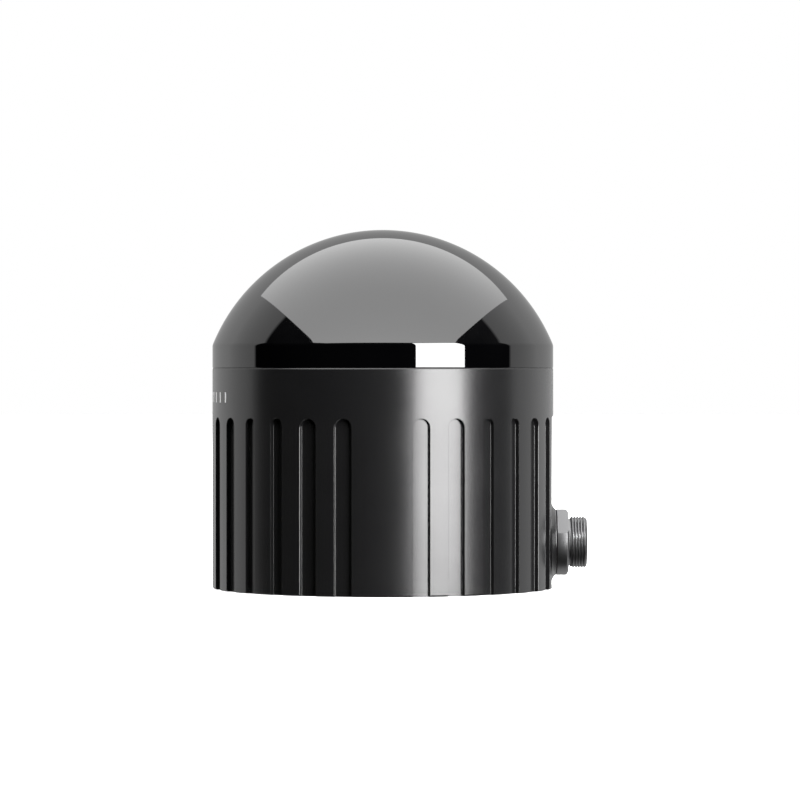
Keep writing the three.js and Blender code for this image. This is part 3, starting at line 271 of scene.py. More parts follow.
def close_tree(tree, geometry, material):
    """Ends a tree in Realize Instances and Set Material."""
    real = add(tree, "GeometryNodeRealizeInstances", {"Geometry": geometry})
    painted = add(tree, "GeometryNodeSetMaterial", {"Geometry": real.outputs[0], "Material": material})
    add(tree, "NodeGroupOutput", {"Geometry": painted.outputs[0]})
    return tree


def run_tree(piece, tree, **values):
    """Runs a tree on a piece. Inputs are given by name, with _ for a space."""
    modifier = piece.modifiers.new(tree.name, "NODES")
    modifier.node_group = tree
    for item in tree.interface.items_tree:
        key = item.name.replace(" ", "_").lower()
        if item.in_out == "INPUT" and key in values:
            modifier[item.identifier] = values[key]
    return settle(piece)


# %% [markdown]
# ## Shader groups
#
# Some effects appear in many finishes: a fine grain, the faint lines that a turning tool leaves, a
# little wear along edges and a trace of dust. Each is a node group, built once. It puts out values that
# vary over the surface, and every material feeds them to its own shader. All of them read Object
# coordinates in millimetres, so a pattern has the same real scale on every piece.

# %% Shader group helper
def new_group(name, inputs, outputs):
    """An empty shader group with its named inputs and outputs."""
    tree = bpy.data.node_groups.new(name, "ShaderNodeTree")
    for label, (kind, value) in inputs.items():
        socket = tree.interface.new_socket(label, in_out="INPUT", socket_type=f"NodeSocket{kind}")
        if value is not None:
            socket.default_value = value
    for label in outputs:
        tree.interface.new_socket(label, in_out="OUTPUT", socket_type="NodeSocketFloat")
    return tree, add(tree, "NodeGroupInput").outputs


def blended(tree, low, high, share):
    """A number between low and high, by a share from 0 to 1."""
    spread = sums(tree, "SUBTRACT", high, low)
    return sums(tree, "ADD", low, sums(tree, "MULTIPLY", spread, share))


# %% Fine grain
def grain_group():
    """Noise at two scales: a fine texture for bump, and a slow drift of tone."""
    tree, given = new_group(
        "fine_grain",
        {"Vector": ("Vector", None), "Grains per mm": ("Float", 4.0), "Detail": ("Float", 3.0)},
        ["Height", "Drift"],
    )
    fine = add(tree, "ShaderNodeTexNoise",
               {"Vector": given["Vector"], "Scale": given["Grains per mm"], "Detail": given["Detail"]})
    slow = add(tree, "ShaderNodeTexNoise", {"Vector": given["Vector"], "Scale": 0.12, "Detail": 4.0})
    add(tree, "NodeGroupOutput", {"Height": fine.outputs["Fac"], "Drift": slow.outputs["Fac"]})
    return tree


# %% Turning lines
def turning_group():
    """Fine lines that change along one distance only, as a turning tool leaves them."""
    tree, given = new_group(
        "turning_lines",
        {"Along": ("Float", 0.0), "Lines per mm": ("Float", 6.0)},
        ["Height", "Tone"],
    )
    fine = add(tree, "ShaderNodeTexNoise", noise_dimensions="1D")
    tree.links.new(sums(tree, "MULTIPLY", given["Along"], given["Lines per mm"]), fine.inputs["W"])
    fine.inputs["Detail"].default_value = 4.0
    broad = add(tree, "ShaderNodeTexNoise", noise_dimensions="1D")
    tree.links.new(sums(tree, "MULTIPLY", given["Along"], 0.7), broad.inputs["W"])
    add(tree, "NodeGroupOutput", {"Height": fine.outputs["Fac"], "Tone": broad.outputs["Fac"]})
    return tree


# %% Edge wear
def wear_group():
    """A mask of the convex edges, found by comparing a rounded normal with the true one."""
    tree, given = new_group(
        "edge_wear",
        {"Vector": ("Vector", None), "Radius": ("Float", 0.0002), "Strength": ("Float", 1.0)},
        ["Mask"],
    )
    rounded = add(tree, "ShaderNodeBevel", {"Radius": given["Radius"]}, samples=4)
    true = add(tree, "ShaderNodeNewGeometry").outputs["Normal"]
    match = add(tree, "ShaderNodeVectorMath", {0: rounded.outputs[0], 1: true}, operation="DOT_PRODUCT")
    edge = sums(tree, "MULTIPLY", sums(tree, "SUBTRACT", 1.0, match.outputs["Value"]), 9.0)
    patchy = add(tree, "ShaderNodeTexNoise", {"Vector": given["Vector"], "Scale": 1.3, "Detail": 5.0})
    worn = sums(tree, "MULTIPLY", edge, patchy.outputs["Fac"])
    strong = add(tree, "ShaderNodeMath", {0: worn, 1: given["Strength"]},
                 operation="MULTIPLY", use_clamp=True)
    add(tree, "NodeGroupOutput", {"Mask": strong.outputs[0]})
    return tree


# %% Dust
def dust_group():
    """Specks and a thin film, thicker on faces that look up."""
    tree, given = new_group(
        "dust", {"Vector": ("Vector", None), "Amount": ("Float", 0.2)}, ["Mask"]
    )
    specks = add(tree, "ShaderNodeTexVoronoi", {"Vector": given["Vector"], "Scale": 0.9})
    near = add(tree, "ShaderNodeMapRange", {
        "Value": specks.outputs["Distance"], "From Min": 0.06, "From Max": 0.03,
        "To Min": 0.0, "To Max": 1.0})
    film = add(tree, "ShaderNodeTexNoise", {"Vector": given["Vector"], "Scale": 0.2, "Detail": 6.0})
    normal = add(tree, "ShaderNodeSeparateXYZ", {0: add(tree, "ShaderNodeNewGeometry").outputs["Normal"]})
    up = sums(tree, "MAXIMUM", normal.outputs["Z"], 0.1)
    cover = sums(tree, "MULTIPLY", sums(tree, "ADD", near.outputs[0], film.outputs["Fac"]), up)
    mask = add(tree, "ShaderNodeMath", {0: cover, 1: given["Amount"]}, operation="MULTIPLY", use_clamp=True)
    add(tree, "NodeGroupOutput", {"Mask": mask.outputs[0]})
    return tree


GRAIN = grain_group()
TURNING = turning_group()
WEAR = wear_group()
DUST = dust_group()
print("shader groups:", [group.name for group in (GRAIN, TURNING, WEAR, DUST)])

# %% [markdown]
# ## Finishes
#
# Each finish starts from one helper, which makes the shader, reads the place on the piece in
# millimetres, and adds a fine grain to the bump, tone and roughness. Values that are the same all over,
# such as how metallic a surface is, are set on the shader itself.

# %% Start a finish
def start_finish(name, fixed):
    """A new material, its tree, its shader, and the place on the piece in millimetres."""
    material = bpy.data.materials.new(name)
    material.use_nodes = True
    tree = material.node_tree
    shader = tree.nodes["Principled BSDF"]
    for label, value in fixed.items():
        shader.inputs[label].default_value = value
    point = add(tree, "ShaderNodeTexCoord").outputs["Object"]
    place = add(tree, "ShaderNodeVectorMath", {0: point, "Scale": 1 / MM}, operation="SCALE")
    return material, tree, shader, place.outputs[0]


def colour_by(tree, share, low, high):
    """A colour between two others, by a share from 0 to 1."""
    mix = add(tree, "ShaderNodeMix", {0: share}, data_type="RGBA")
    for socket, value in ((mix.inputs[6], low), (mix.inputs[7], high)):
        if isinstance(value, bpy.types.NodeSocket):
            tree.links.new(value, socket)
        else:
            socket.default_value = (*value, 1)
    return mix.outputs[2]


def roughness_by(tree, share, low, high):
    """A roughness between two others, by a share from 0 to 1."""
    feeds = {"Value": share, "To Min": low, "To Max": high}
    return add(tree, "ShaderNodeMapRange", feeds).outputs[0]


def bump_from(tree, height, depth, under=None):
    """A normal from a height, for a texture this many millimetres deep."""
    feeds = {"Height": height, "Strength": 1.0, "Distance": depth * MM}
    if under:
        feeds["Normal"] = under
    return add(tree, "ShaderNodeBump", feeds).outputs[0]


# %% A grained finish
def grained(name, colour, rough, grains=4.0, depth=0.004, drift=0.2, fixed=None):
    """Colour and roughness drift slowly, over a grain of this depth in millimetres."""
    material, tree, shader, place = start_finish(name, fixed or {})
    grain = add(tree, "ShaderNodeGroup", node_tree=GRAIN)
    tree.links.new(place, grain.inputs["Vector"])
    grain.inputs["Grains per mm"].default_value = grains
    dark = [part * (1 - drift) for part in colour]
    light = [part * (1 + drift) for part in colour]
    tone = colour_by(tree, grain.outputs["Drift"], dark, light)
    tree.links.new(tone, shader.inputs["Base Color"])
    spread = roughness_by(tree, grain.outputs["Drift"], rough * 0.88, rough * 1.12)
    tree.links.new(spread, shader.inputs["Roughness"])
    bump = bump_from(tree, grain.outputs["Height"], depth)
    tree.links.new(bump, shader.inputs["Normal"])
    return material


def feed_of(shader, label):
    """What feeds a shader's input now."""
    return shader.inputs[label].links[0].from_socket


# %% [markdown]
# ## Black anodised aluminium
#
# The housing is turned, blasted very finely and dyed black. Its colour sits in a clear oxide, so it
# shines like a satin lacquer and not like bare metal. Faint turning lines show in its highlight. On
# the wall they run round it, so they change with height; on the base cover they change with radius.

# %% Turned and anodised
ANODISED = dict(colour=(0.004, 0.004, 0.0042), rough=0.25, grains=7.0, depth=0.0016, drift=0.12)
ANODISED_SHINE = {"IOR": 1.44, "Sheen Weight": 0.12, "Sheen Roughness": 0.3}


def turned_anodised(name, across):
    """Anodised black, with turning lines that change with height or with radius."""
    material = grained(name, **ANODISED, fixed=ANODISED_SHINE)
    tree = material.node_tree
    shader = tree.nodes["Principled BSDF"]
    place = tree.nodes["Vector Math"].outputs[0]
    parts = add(tree, "ShaderNodeSeparateXYZ", {0: place}).outputs
    along = parts["Z"]
    if across == "radius":
        square = sums(tree, "ADD", sums(tree, "MULTIPLY", parts["X"], parts["X"]),
                      sums(tree, "MULTIPLY", parts["Y"], parts["Y"]))
        along = sums(tree, "SQRT", square)
    lines = add(tree, "ShaderNodeGroup", {"Along": along, "Lines per mm": 9.0}, node_tree=TURNING)
    turned = bump_from(tree, lines.outputs["Height"], 0.0009, feed_of(shader, "Normal"))
    tree.links.new(turned, shader.inputs["Normal"])
    return material


# %% Printed angle scale
TICK_STEP = 5.0        # degrees from tick to tick
TICK_HALF = 0.5        # half a tick's width, in degrees
SCALE_HALF = 26.0      # the scale ends this many degrees to each side
TICK_MIDDLE = 33.6     # height of the ticks' middle
TICK_REACH = 0.9       # half a tick's height
ARROW_FOOT, ARROW_TIP = 35.1, 36.6
ARROW_SPREAD = 1.4     # degrees to each side, for each millimetre below the tip


def printed_scale(material):
    """White ticks every 5 degrees round the front of the housing, with an arrow over the middle one."""
    tree = material.node_tree
    shader = tree.nodes["Principled BSDF"]
    parts = add(tree, "ShaderNodeSeparateXYZ", {0: tree.nodes["Vector Math"].outputs[0]}).outputs
    x, y, z = parts["X"], parts["Y"], parts["Z"]
    turn = sums(tree, "ARCTAN2", y, sums(tree, "MULTIPLY", x, -1.0))
    angle = sums(tree, "ABSOLUTE", sums(tree, "DEGREES", turn))
    near_tick = sums(tree, "LESS_THAN", sums(tree, "PINGPONG", angle, TICK_STEP / 2), TICK_HALF)
    in_scale = sums(tree, "LESS_THAN", angle, SCALE_HALF)
    off_middle = sums(tree, "ABSOLUTE", sums(tree, "SUBTRACT", z, TICK_MIDDLE))
    in_band = sums(tree, "LESS_THAN", off_middle, TICK_REACH)
    ticks = sums(tree, "MULTIPLY", sums(tree, "MULTIPLY", near_tick, in_scale), in_band)
    below_tip = sums(tree, "MULTIPLY", sums(tree, "SUBTRACT", ARROW_TIP, z), ARROW_SPREAD)
    in_arrow = sums(tree, "LESS_THAN", angle, below_tip)
    above_foot = sums(tree, "GREATER_THAN", z, ARROW_FOOT)
    arrow = sums(tree, "MULTIPLY", in_arrow, above_foot)
    on_wall = sums(tree, "LESS_THAN", x, -20.0)
    mark = sums(tree, "MULTIPLY", sums(tree, "MAXIMUM", ticks, arrow), on_wall)
    tone = colour_by(tree, mark, feed_of(shader, "Base Color"), (0.8, 0.8, 0.8))
    tree.links.new(tone, shader.inputs["Base Color"])
    tree.links.new(blended(tree, feed_of(shader, "Roughness"), 0.5, mark), shader.inputs["Roughness"])
    return material


anodised_wall = printed_scale(turned_anodised("anodised_wall", "height"))
anodised_cover = turned_anodised("anodised_cover", "radius")
print("finishes:", anodised_wall.name, anodised_cover.name)

# %% [markdown]
# ## The dome's gloss
#
# The dome is polished plastic, black to the eye and clear to the laser. What makes it read as
# polished is an almost perfect mirror, with its strength set by the angle. A very faint
# wiping haze and a few specks keep it from looking like a computed ball.

# %% Polished black
def polished_black():
    """Deep black under a mirror-like surface, with a trace of haze and dust."""
    material, tree, shader, place = start_finish("polished_black", {"IOR": 1.52})
    dust = add(tree, "ShaderNodeGroup", {"Vector": place, "Amount": 0.012}, node_tree=DUST)
    tone = colour_by(tree, dust.outputs["Mask"], (0.0003, 0.0003, 0.0004), (0.3, 0.3, 0.3))
    tree.links.new(tone, shader.inputs["Base Color"])
    wiped = add(tree, "ShaderNodeTexNoise", {
        "Vector": place, "Scale": 0.06, "Detail": 3.0, "Distortion": 1.5})
    haze = roughness_by(tree, wiped.outputs["Fac"], 0.012, 0.035)
    tree.links.new(sums(tree, "ADD", haze, dust.outputs["Mask"]), shader.inputs["Roughness"])
    return material


dome_finish = polished_black()
print("finish:", dome_finish.name)

# %% [markdown]
# ## Metals
#
# A metal has no colour of its own under its reflection, so Metallic is 1 and Base Color is the colour of
# the reflection. Plating wears first along its edges, which the edge wear group finds.

# %% Metals
def metal(name, colour, rough, bright=None, wear=0.6, **grain):
    """A metal, with its edges a little brighter where handling has polished them."""
    material = grained(name, colour, rough, fixed={"Metallic": 1.0}, **grain)
    tree = material.node_tree
    shader = tree.nodes["Principled BSDF"]
    place = tree.nodes["Vector Math"].outputs[0]
    worn = add(tree, "ShaderNodeGroup", {"Vector": place, "Radius": 0.12 * MM, "Strength": wear},
               node_tree=WEAR)
    bright = bright or [min(1, part * 1.6) for part in colour]
    tone = colour_by(tree, worn.outputs["Mask"], feed_of(shader, "Base Color"), bright)
    tree.links.new(tone, shader.inputs["Base Color"])
    return material


def laminated(name, colour, rough, per_mm):
    """A metal made of stacked sheets: a groove between each two."""
    material = metal(name, colour, rough, wear=0.2)
    tree = material.node_tree
    shader = tree.nodes["Principled BSDF"]
    height = add(tree, "ShaderNodeSeparateXYZ", {0: tree.nodes["Vector Math"].outputs[0]}).outputs["Z"]
    sheet = sums(tree, "PINGPONG", sums(tree, "MULTIPLY", height, 2 * per_mm), 1.0)
    groove = sums(tree, "MINIMUM", sums(tree, "MULTIPLY", sheet, 4.0), 1.0)
    tree.links.new(bump_from(tree, groove, 0.03, feed_of(shader, "Normal")), shader.inputs["Normal"])
    tone = colour_by(tree, groove, [part * 0.3 for part in colour], feed_of(shader, "Base Color"))
    tree.links.new(tone, shader.inputs["Base Color"])
    return material


connector_plate = metal("connector_plate", (0.12, 0.12, 0.122), 0.4, grains=9, depth=0.001, drift=0.08)
pin_gold = metal("pin_gold", (0.86, 0.6, 0.22), 0.2, grains=9, depth=0.0005, drift=0.06)
screw_black = metal("screw_black", (0.05, 0.05, 0.052), 0.36, bright=(0.2, 0.2, 0.2),
                    grains=8, depth=0.002)
bright_steel = metal("bright_steel", (0.56, 0.56, 0.57), 0.24, grains=9, depth=0.0008, drift=0.06)
bare_alloy = metal("bare_alloy", (0.62, 0.63, 0.64), 0.34, grains=6, depth=0.0012, drift=0.07)
magnet_plate = metal("magnet_plate", (0.4, 0.4, 0.41), 0.3, grains=5, depth=0.002)
core_iron = laminated("core_iron", (0.2, 0.2, 0.21), 0.42, per_mm=2.5)
print("finishes so far:", len(bpy.data.materials))

# %% [markdown]
# ## Plastics, rubber, boards and glass
#
# These are dielectric: their highlight is white whatever their colour. Moulded parts carry a spark
# eroded texture, seals are smooth and dull, and a circuit board shows its copper through the mask.

# %% Plastics and rubber
moulded_black = grained("moulded_black", (0.016, 0.016, 0.017), 0.48, grains=6, depth=0.006)
seal_rubber = grained("seal_rubber", (0.018, 0.018, 0.019), 0.62, grains=3, depth=0.003)
flex_amber = grained("flex_amber", (0.42, 0.17, 0.02), 0.28, grains=1.5, depth=0.004)
gap_pad = grained("gap_pad", (0.23, 0.28, 0.36), 0.75, grains=3, depth=0.02)
chip_black = grained("chip_black", (0.02, 0.02, 0.022), 0.52, grains=12, depth=0.004)


# %% Printed circuit board
def circuit_board():
    """Solder mask over copper: tracks stand slightly proud and look lighter."""
    material = grained("board_green", (0.012, 0.085, 0.045), 0.3, grains=5, depth=0.001)
    tree = material.node_tree
    shader = tree.nodes["Principled BSDF"]
    place = tree.nodes["Vector Math"].outputs[0]
    tracks = add(tree, "ShaderNodeTexBrick", {
        "Vector": place, "Color1": (1, 1, 1, 1), "Color2": (0.6, 0.6, 0.6, 1), "Mortar": (0, 0, 0, 1),
        "Scale": 1.1, "Mortar Size": 0.12, "Brick Width": 2.7, "Row Height": 0.34})
    share = add(tree, "ShaderNodeSeparateColor", {0: tracks.outputs["Color"]}).outputs[0]
    tone = colour_by(tree, share, feed_of(shader, "Base Color"), (0.03, 0.16, 0.08))
    tree.links.new(tone, shader.inputs["Base Color"])
    tree.links.new(bump_from(tree, share, 0.02, feed_of(shader, "Normal")), shader.inputs["Normal"])
    return material


# %% Enamelled copper wire
def wound_copper():
    """Copper under clear enamel, its bump a row of fine wires, with painted shade in the hollows between
    them.
    """
    material = grained("coil_copper", (0.62, 0.24, 0.09), 0.26, grains=3, depth=0.002,
                       fixed={"Metallic": 1.0, "Coat Weight": 0.6, "Coat Roughness": 0.15})
    tree = material.node_tree
    shader = tree.nodes["Principled BSDF"]
    wires = add(tree, "ShaderNodeTexWave", {
        "Vector": tree.nodes["Vector Math"].outputs[0], "Scale": 1.6, "Distortion": 0.6, "Detail": 1.0},
        bands_direction="Z")
    bump = bump_from(tree, wires.outputs["Fac"], 0.06, feed_of(shader, "Normal"))
    tree.links.new(bump, shader.inputs["Normal"])
    # Painted shade: the copper is coloured darker in the hollows between the wires, where shade would fall.
    tone = colour_by(tree, wires.outputs["Fac"], (0.3, 0.09, 0.03), feed_of(shader, "Base Color"))
    tree.links.new(tone, shader.inputs["Base Color"])
    return material


# %% Coated lens glass
def coated_glass():
    """Dark filter glass. Its coating shifts from violet to green across the surface."""
    material, tree, shader, place = start_finish("lens_glass", {
        "IOR": 1.6, "Coat Weight": 1.0, "Coat Roughness": 0.02, "Metallic": 0.0})
    drift = add(tree, "ShaderNodeTexNoise", {"Vector": place, "Scale": 0.15, "Detail": 1.0})
    tone = colour_by(tree, drift.outputs["Fac"], (0.02, 0.008, 0.045), (0.006, 0.035, 0.03))
    tree.links.new(tone, shader.inputs["Base Color"])
    tree.links.new(roughness_by(tree, drift.outputs["Fac"], 0.02, 0.05), shader.inputs["Roughness"])
    return material


board_green = circuit_board()
coil_copper = wound_copper()
lens_glass = coated_glass()
print("finishes in all:", len(bpy.data.materials))

# %% [markdown]
# ## Dress the frame
#
# Every CAD node gets the finish of its material slot first. Nodes that later cells replace are hidden
# then. The rest keep their CAD shape under a real finish.

# %% Paint the CAD nodes
FINISHES = {
    "anodised_black": anodised_wall, "dome_gloss": dome_finish, "seal_rubber": seal_rubber,
    "moulded_black": moulded_black, "connector_plate": connector_plate, "pin_gold": pin_gold,
    "flex_amber": flex_amber, "gap_pad": gap_pad, "board_green": board_green, "chip_black": chip_black,
    "coil_copper": coil_copper, "core_iron": core_iron, "magnet_plate": magnet_plate,
    "bare_alloy": bare_alloy, "lens_glass": lens_glass, "bright_steel": bright_steel,
    "screw_black": screw_black,
}
slot_of = {part["node"]: part["material_slot"] for part in frame["record"]["subparts"]}
for name, node in frame["nodes"].items():
    node.material_slots[0].material = FINISHES[slot_of[name]]
print("painted", len(frame["nodes"]), "CAD nodes")


# %% Finish a piece
def smooth_shading(piece, crease):
    """Shades a piece so that its big faces stay true right up to their rounded edges."""
    piece.data.shade_smooth()
    piece.data.set_sharp_from_angle(angle=math.radians(crease))
    weighted = piece.modifiers.new("weighted", "WEIGHTED_NORMAL")
    weighted.keep_sharp = True
    weighted.weight = 100
    settle(piece)


def finish_piece(piece, material, body, slot, *nodes, crease=28):
    """Scales a piece to metres, shades and paints it, and ties it to its body."""
    piece.data.transform(Matrix.Scale(MM, 4))
    piece.data.materials.clear()
    piece.data.materials.append(material)
    smooth_shading(piece, crease)
    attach(piece, body)
    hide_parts(*nodes)
    print(f"{piece.name}: {len(piece.data.polygons)} faces, stands for {list(nodes)}")


# %% [markdown]
# ## The housing
#
# The housing is one turned piece. Its wall carries the dome's seat at the top, the deck for the motor
# in the middle and room for the electronics below. The lathe draws that whole section in one go.
#
# The cooling slots follow a rule: six in each quarter, 12.1 degrees apart, starting 12.8 degrees from the
# plain panels at the two sides. The two slots nearest each diagonal are narrower. A node tree works the
# angle out from each slot's number, places a cutter there, and cuts them all at once. The cutter has
# a rounded foot, as the tip of an end mill leaves, and a flared mouth, which breaks the fins' edges.

# %% Slot cutter
SLOT_MOUTH = 0.05    # chamfer on the edges of the fins
SLOT_FILLET = 0.1    # radius at the foot of a slot
CUT_OVER = 1.0       # how far a cutter runs past the face that it cuts


def slot_outline(half, grown):
    """A slot with a round top, grown outwards by a distance: over the top, and back along the foot."""
    reach = half + grown
    turns = [math.pi * step / 16 for step in range(17)]
    over = [(reach * math.cos(a), SLOT_TOP - half + reach * math.sin(a)) for a in turns]
    return over + [(x, -CUT_OVER) for x, _ in reversed(over)]


def slot_cutter(name, width):
    """Drawn with its depth along Z, and then laid so that the depth is along +X. Its ends are wrapped
    round the axis, because the floor of a slot follows the wall's curve."""
    half = width / 2
    levels = []
    for step in range(5):
        angle = math.pi / 2 * step / 4
        inset = SLOT_FILLET * (1 - math.sin(angle))
        depth = SLOT_FLOOR + SLOT_FILLET * (1 - math.cos(angle))
        levels.append((depth, slot_outline(half, -inset)))
    levels.append((BODY_RADIUS - SLOT_MOUTH, slot_outline(half, 0)))
    levels.append((BODY_RADIUS + CUT_OVER, slot_outline(half, CUT_OVER + SLOT_MOUTH)))
    cutter = stack(name, levels, strips=True)
    for vertex in cutter.data.vertices:
        vertex.co.z = math.sqrt(vertex.co.z ** 2 - vertex.co.x ** 2)
    depth_along_x = Matrix(((0, 0, 1, 0), (1, 0, 0, 0), (0, 1, 0, 0), (0, 0, 0, 1)))
    return moved(cutter, depth_along_x)


wide_cutter = slot_cutter("wide_cutter", 3.0)
narrow_cutter = slot_cutter("narrow_cutter", 2.4)
print("cutter faces:", len(wide_cutter.data.polygons))


# %% Tree: cooling slots by rule
def cooling_slots():
    """Cuts mirrored quarters of slots, the two middle ones of each quarter narrower."""
    tree, given = new_tree("cooling_slots", {
        "Wide Cutter": "Object", "Narrow Cutter": "Object", "Slots per Quarter": "Int",
        "First Angle": "Float", "Pitch": "Float", "Material": "Material"})
    per_quarter = given["Slots per Quarter"]
    count = sums(tree, "MULTIPLY", per_quarter, 4.0)
    points = add(tree, "GeometryNodeMeshLine", {"Count": count, "Offset": (0, 0, 0)})
    index = add(tree, "GeometryNodeInputIndex").outputs[0]
    number = sums(tree, "MODULO", index, per_quarter)
    quarter = sums(tree, "FLOOR", sums(tree, "DIVIDE", index, per_quarter))
    way = sums(tree, "SUBTRACT", sums(tree, "MULTIPLY", sums(tree, "MODULO", quarter, 2.0), 2.0), 1.0)
    side = sums(tree, "MULTIPLY", sums(tree, "FLOOR", sums(tree, "DIVIDE", quarter, 2.0)), 180.0)
    swing = sums(tree, "ADD", given["First Angle"], sums(tree, "MULTIPLY", given["Pitch"], number))
    degrees = sums(tree, "ADD", sums(tree, "ADD", 90.0, side), sums(tree, "MULTIPLY", way, swing))
    turn = add(tree, "ShaderNodeCombineXYZ", {"Z": sums(tree, "RADIANS", degrees)})
    middle = sums(tree, "DIVIDE", sums(tree, "SUBTRACT", per_quarter, 1.0), 2.0)
    off_middle = sums(tree, "ABSOLUTE", sums(tree, "SUBTRACT", number, middle))
    is_narrow = sums(tree, "LESS_THAN", off_middle, 1.0)
    is_wide = sums(tree, "SUBTRACT", 1.0, is_narrow)
    cut = add(tree, "GeometryNodeMeshBoolean", {"Mesh 1": given["Geometry"]},
              operation="DIFFERENCE", solver="MANIFOLD")
    for label, chosen in (("Wide Cutter", is_wide), ("Narrow Cutter", is_narrow)):
        tool = add(tree, "GeometryNodeObjectInfo", {"Object": given[label]})
        placed = add(tree, "GeometryNodeInstanceOnPoints", {
            "Points": points.outputs[0], "Instance": tool.outputs["Geometry"],
            "Selection": chosen, "Rotation": turn.outputs[0]})
        real = add(tree, "GeometryNodeRealizeInstances", {"Geometry": placed.outputs[0]})
        tree.links.new(real.outputs[0], cut.inputs["Mesh 2"])
    return close_tree(tree, cut.outputs["Mesh"], given["Material"])


# %% Turn the housing and cut its slots
SPINDLE_HOLE = 3.05
SEAT_INNER, SEAT_BORE, SEAT_OUTER = 15.95, 17.8, 19.3  # the ring that holds the motor's core
SEAT_LEDGE, SEAT_TOP = 26.9, 28.9
LIP_SEAT = HOUSING_HEIGHT - 3.15
SEAM_EDGE, SEAM_RISE = 0.12, 0.21  # a steep bevel, which shows as a thin bright line under the dome
housing = lathe("housing", [
    (SPINDLE_HOLE, DECK_BOTTOM, 0.15), (BORE_RADIUS, DECK_BOTTOM, 0.4), (BORE_RADIUS, 0, 0.2),
    (BODY_RADIUS, 0, 0.3), (BODY_RADIUS, HOUSING_HEIGHT - SEAM_RISE),
    (BODY_RADIUS - SEAM_EDGE, HOUSING_HEIGHT), (LIP_SEAT_RADIUS, HOUSING_HEIGHT, 0.15),
    (LIP_SEAT_RADIUS, LIP_SEAT, 0.1), (BORE_RADIUS, LIP_SEAT, 0.15), (BORE_RADIUS, DECK_TOP, 0.4),
    (SEAT_OUTER, DECK_TOP, 0.3), (SEAT_OUTER, SEAT_TOP, 0.2), (SEAT_BORE, SEAT_TOP, 0.15),
    (SEAT_BORE, SEAT_LEDGE, 0.1), (SEAT_INNER, SEAT_LEDGE, 0.15), (SEAT_INNER, DECK_TOP, 0.3),
    (SPINDLE_HOLE, DECK_TOP, 0.15),
], segments=360)
run_tree(housing, cooling_slots(), wide_cutter=wide_cutter, narrow_cutter=narrow_cutter,
         slots_per_quarter=6, first_angle=12.8, pitch=12.1, material=anodised_wall)
for tool in (wide_cutter, narrow_cutter):
    bpy.data.objects.remove(tool)
print("housing with slots:", len(housing.data.polygons), "faces")

# %% [markdown]
# The connector sits on a flat milled down the wall, on a boss that tapers where it leaves the wall.
# Four screw bosses stand inside for the base cover. Each is joined on, and its holes cut.

# %% Connector port and screw bosses
ALONG_X = Matrix.Translation((0, 0, CONNECTOR_HEIGHT)) @ Matrix.Rotation(math.radians(90), 4, "Y")
PORT_FACE = SHELL_START - 0.1
SCREW_CIRCLE = 21.3
SCREW_ANGLES = (60, 120, 240, 300)


def port_flat():
    """The milled flat, with a run-out at 45 degrees above it."""
    flat_at, top, out = BODY_RADIUS - 0.4, SLOT_TOP, BODY_RADIUS + CUT_OVER
    outline = [(flat_at, -CUT_OVER), (out, -CUT_OVER), (out, top + out - flat_at), (flat_at, top)]
    block = stack("port_flat", [(-4.9, outline), (4.9, outline)])
    return moved(block, Matrix.Rotation(math.radians(90), 4, "X"))


def port_boss():
    """The boss outside and the pad inside, that the connector is clamped between."""
    profile = [(0, 23.4), (5.6, 23.4, 0.2), (5.6, 26.1), (7.0, 26.1), (7.0, BODY_RADIUS - 0.4),
               (5.9, PORT_FACE - 0.2, 0.1), (5.9, PORT_FACE, 0.12), (0, PORT_FACE)]
    boss = moved(lathe("port_boss", profile, segments=96), ALONG_X)
    return combine(boss, [box("under_boss", (0, -9, -2), (32, 9, 0.9))])


def round_tool(name, radius, low, high, segments=48):
    """A round cutter that ends flat at both ends."""
    return lathe(name, [(0, low), (radius, low), (radius, high), (0, high)], segments)


def screw_boss(angle):
    """A post webbed to the wall."""
    post = lathe("post", [(0, 2.2), (2.5, 2.2), (2.5, 9, 0.2), (0, 9)], 48)
    moved(post, Matrix.Translation((SCREW_CIRCLE, 0, 0)))
    web = box("web", (SCREW_CIRCLE, -2, 2.2), (BORE_RADIUS + 1.1, 2, 8.9), 0.1)
    return moved(combine(post, [web], "UNION"), Matrix.Rotation(math.radians(angle), 4, "Z"))


def at_screw(tool, angle):
    """Moves a tool drawn on the axis to a screw's place."""
    place = Matrix.Rotation(math.radians(angle), 4, "Z") @ Matrix.Translation((SCREW_CIRCLE, 0, 0))
    return moved(tool, place)


combine(housing, [port_flat()])
combine(housing, [port_boss()] + [screw_boss(angle) for angle in SCREW_ANGLES], "UNION")
bore = moved(round_tool("port_bore", 4.45, 22, 32, 96), ALONG_X)
holes = [at_screw(round_tool("screw_hole", 1.15, 0, 8, 24), angle) for angle in SCREW_ANGLES]
combine(housing, [bore] + holes)
finish_piece(housing, anodised_wall, "housing", "anodised_black", "main_housing")

# %% [markdown]
# ## The dome window
#
# The dome is a spherical cap on a short straight rim, with a soft crease between them. The crease is a
# fillet that touches both: its centre lies 1.5 mm inside the rim, and as far inside the cap. Working
# that out keeps the reflection smooth where the two meet. Below the rim a lip with a seal groove drops
# into the housing.

# %% Draw the dome's section and turn it
CAP_RISE = DOME_TOP - HOUSING_HEIGHT - DOME_RIM
CAP_RADIUS = (BODY_RADIUS ** 2 + CAP_RISE ** 2) / (2 * CAP_RISE)
CAP_CENTRE = DOME_TOP - CAP_RADIUS
CREASE = 1.5
DOME_WALL = 2.0
LIP_RADIUS = LIP_SEAT_RADIUS - 0.15


def arc(radius, first, last, steps, centre=(0, 0)):
    """Points on an arc, from one angle to another in radians."""
    angles = [first + (last - first) * i / steps for i in range(steps + 1)]
    return [(centre[0] + radius * math.cos(a), centre[1] + radius * math.sin(a)) for a in angles]


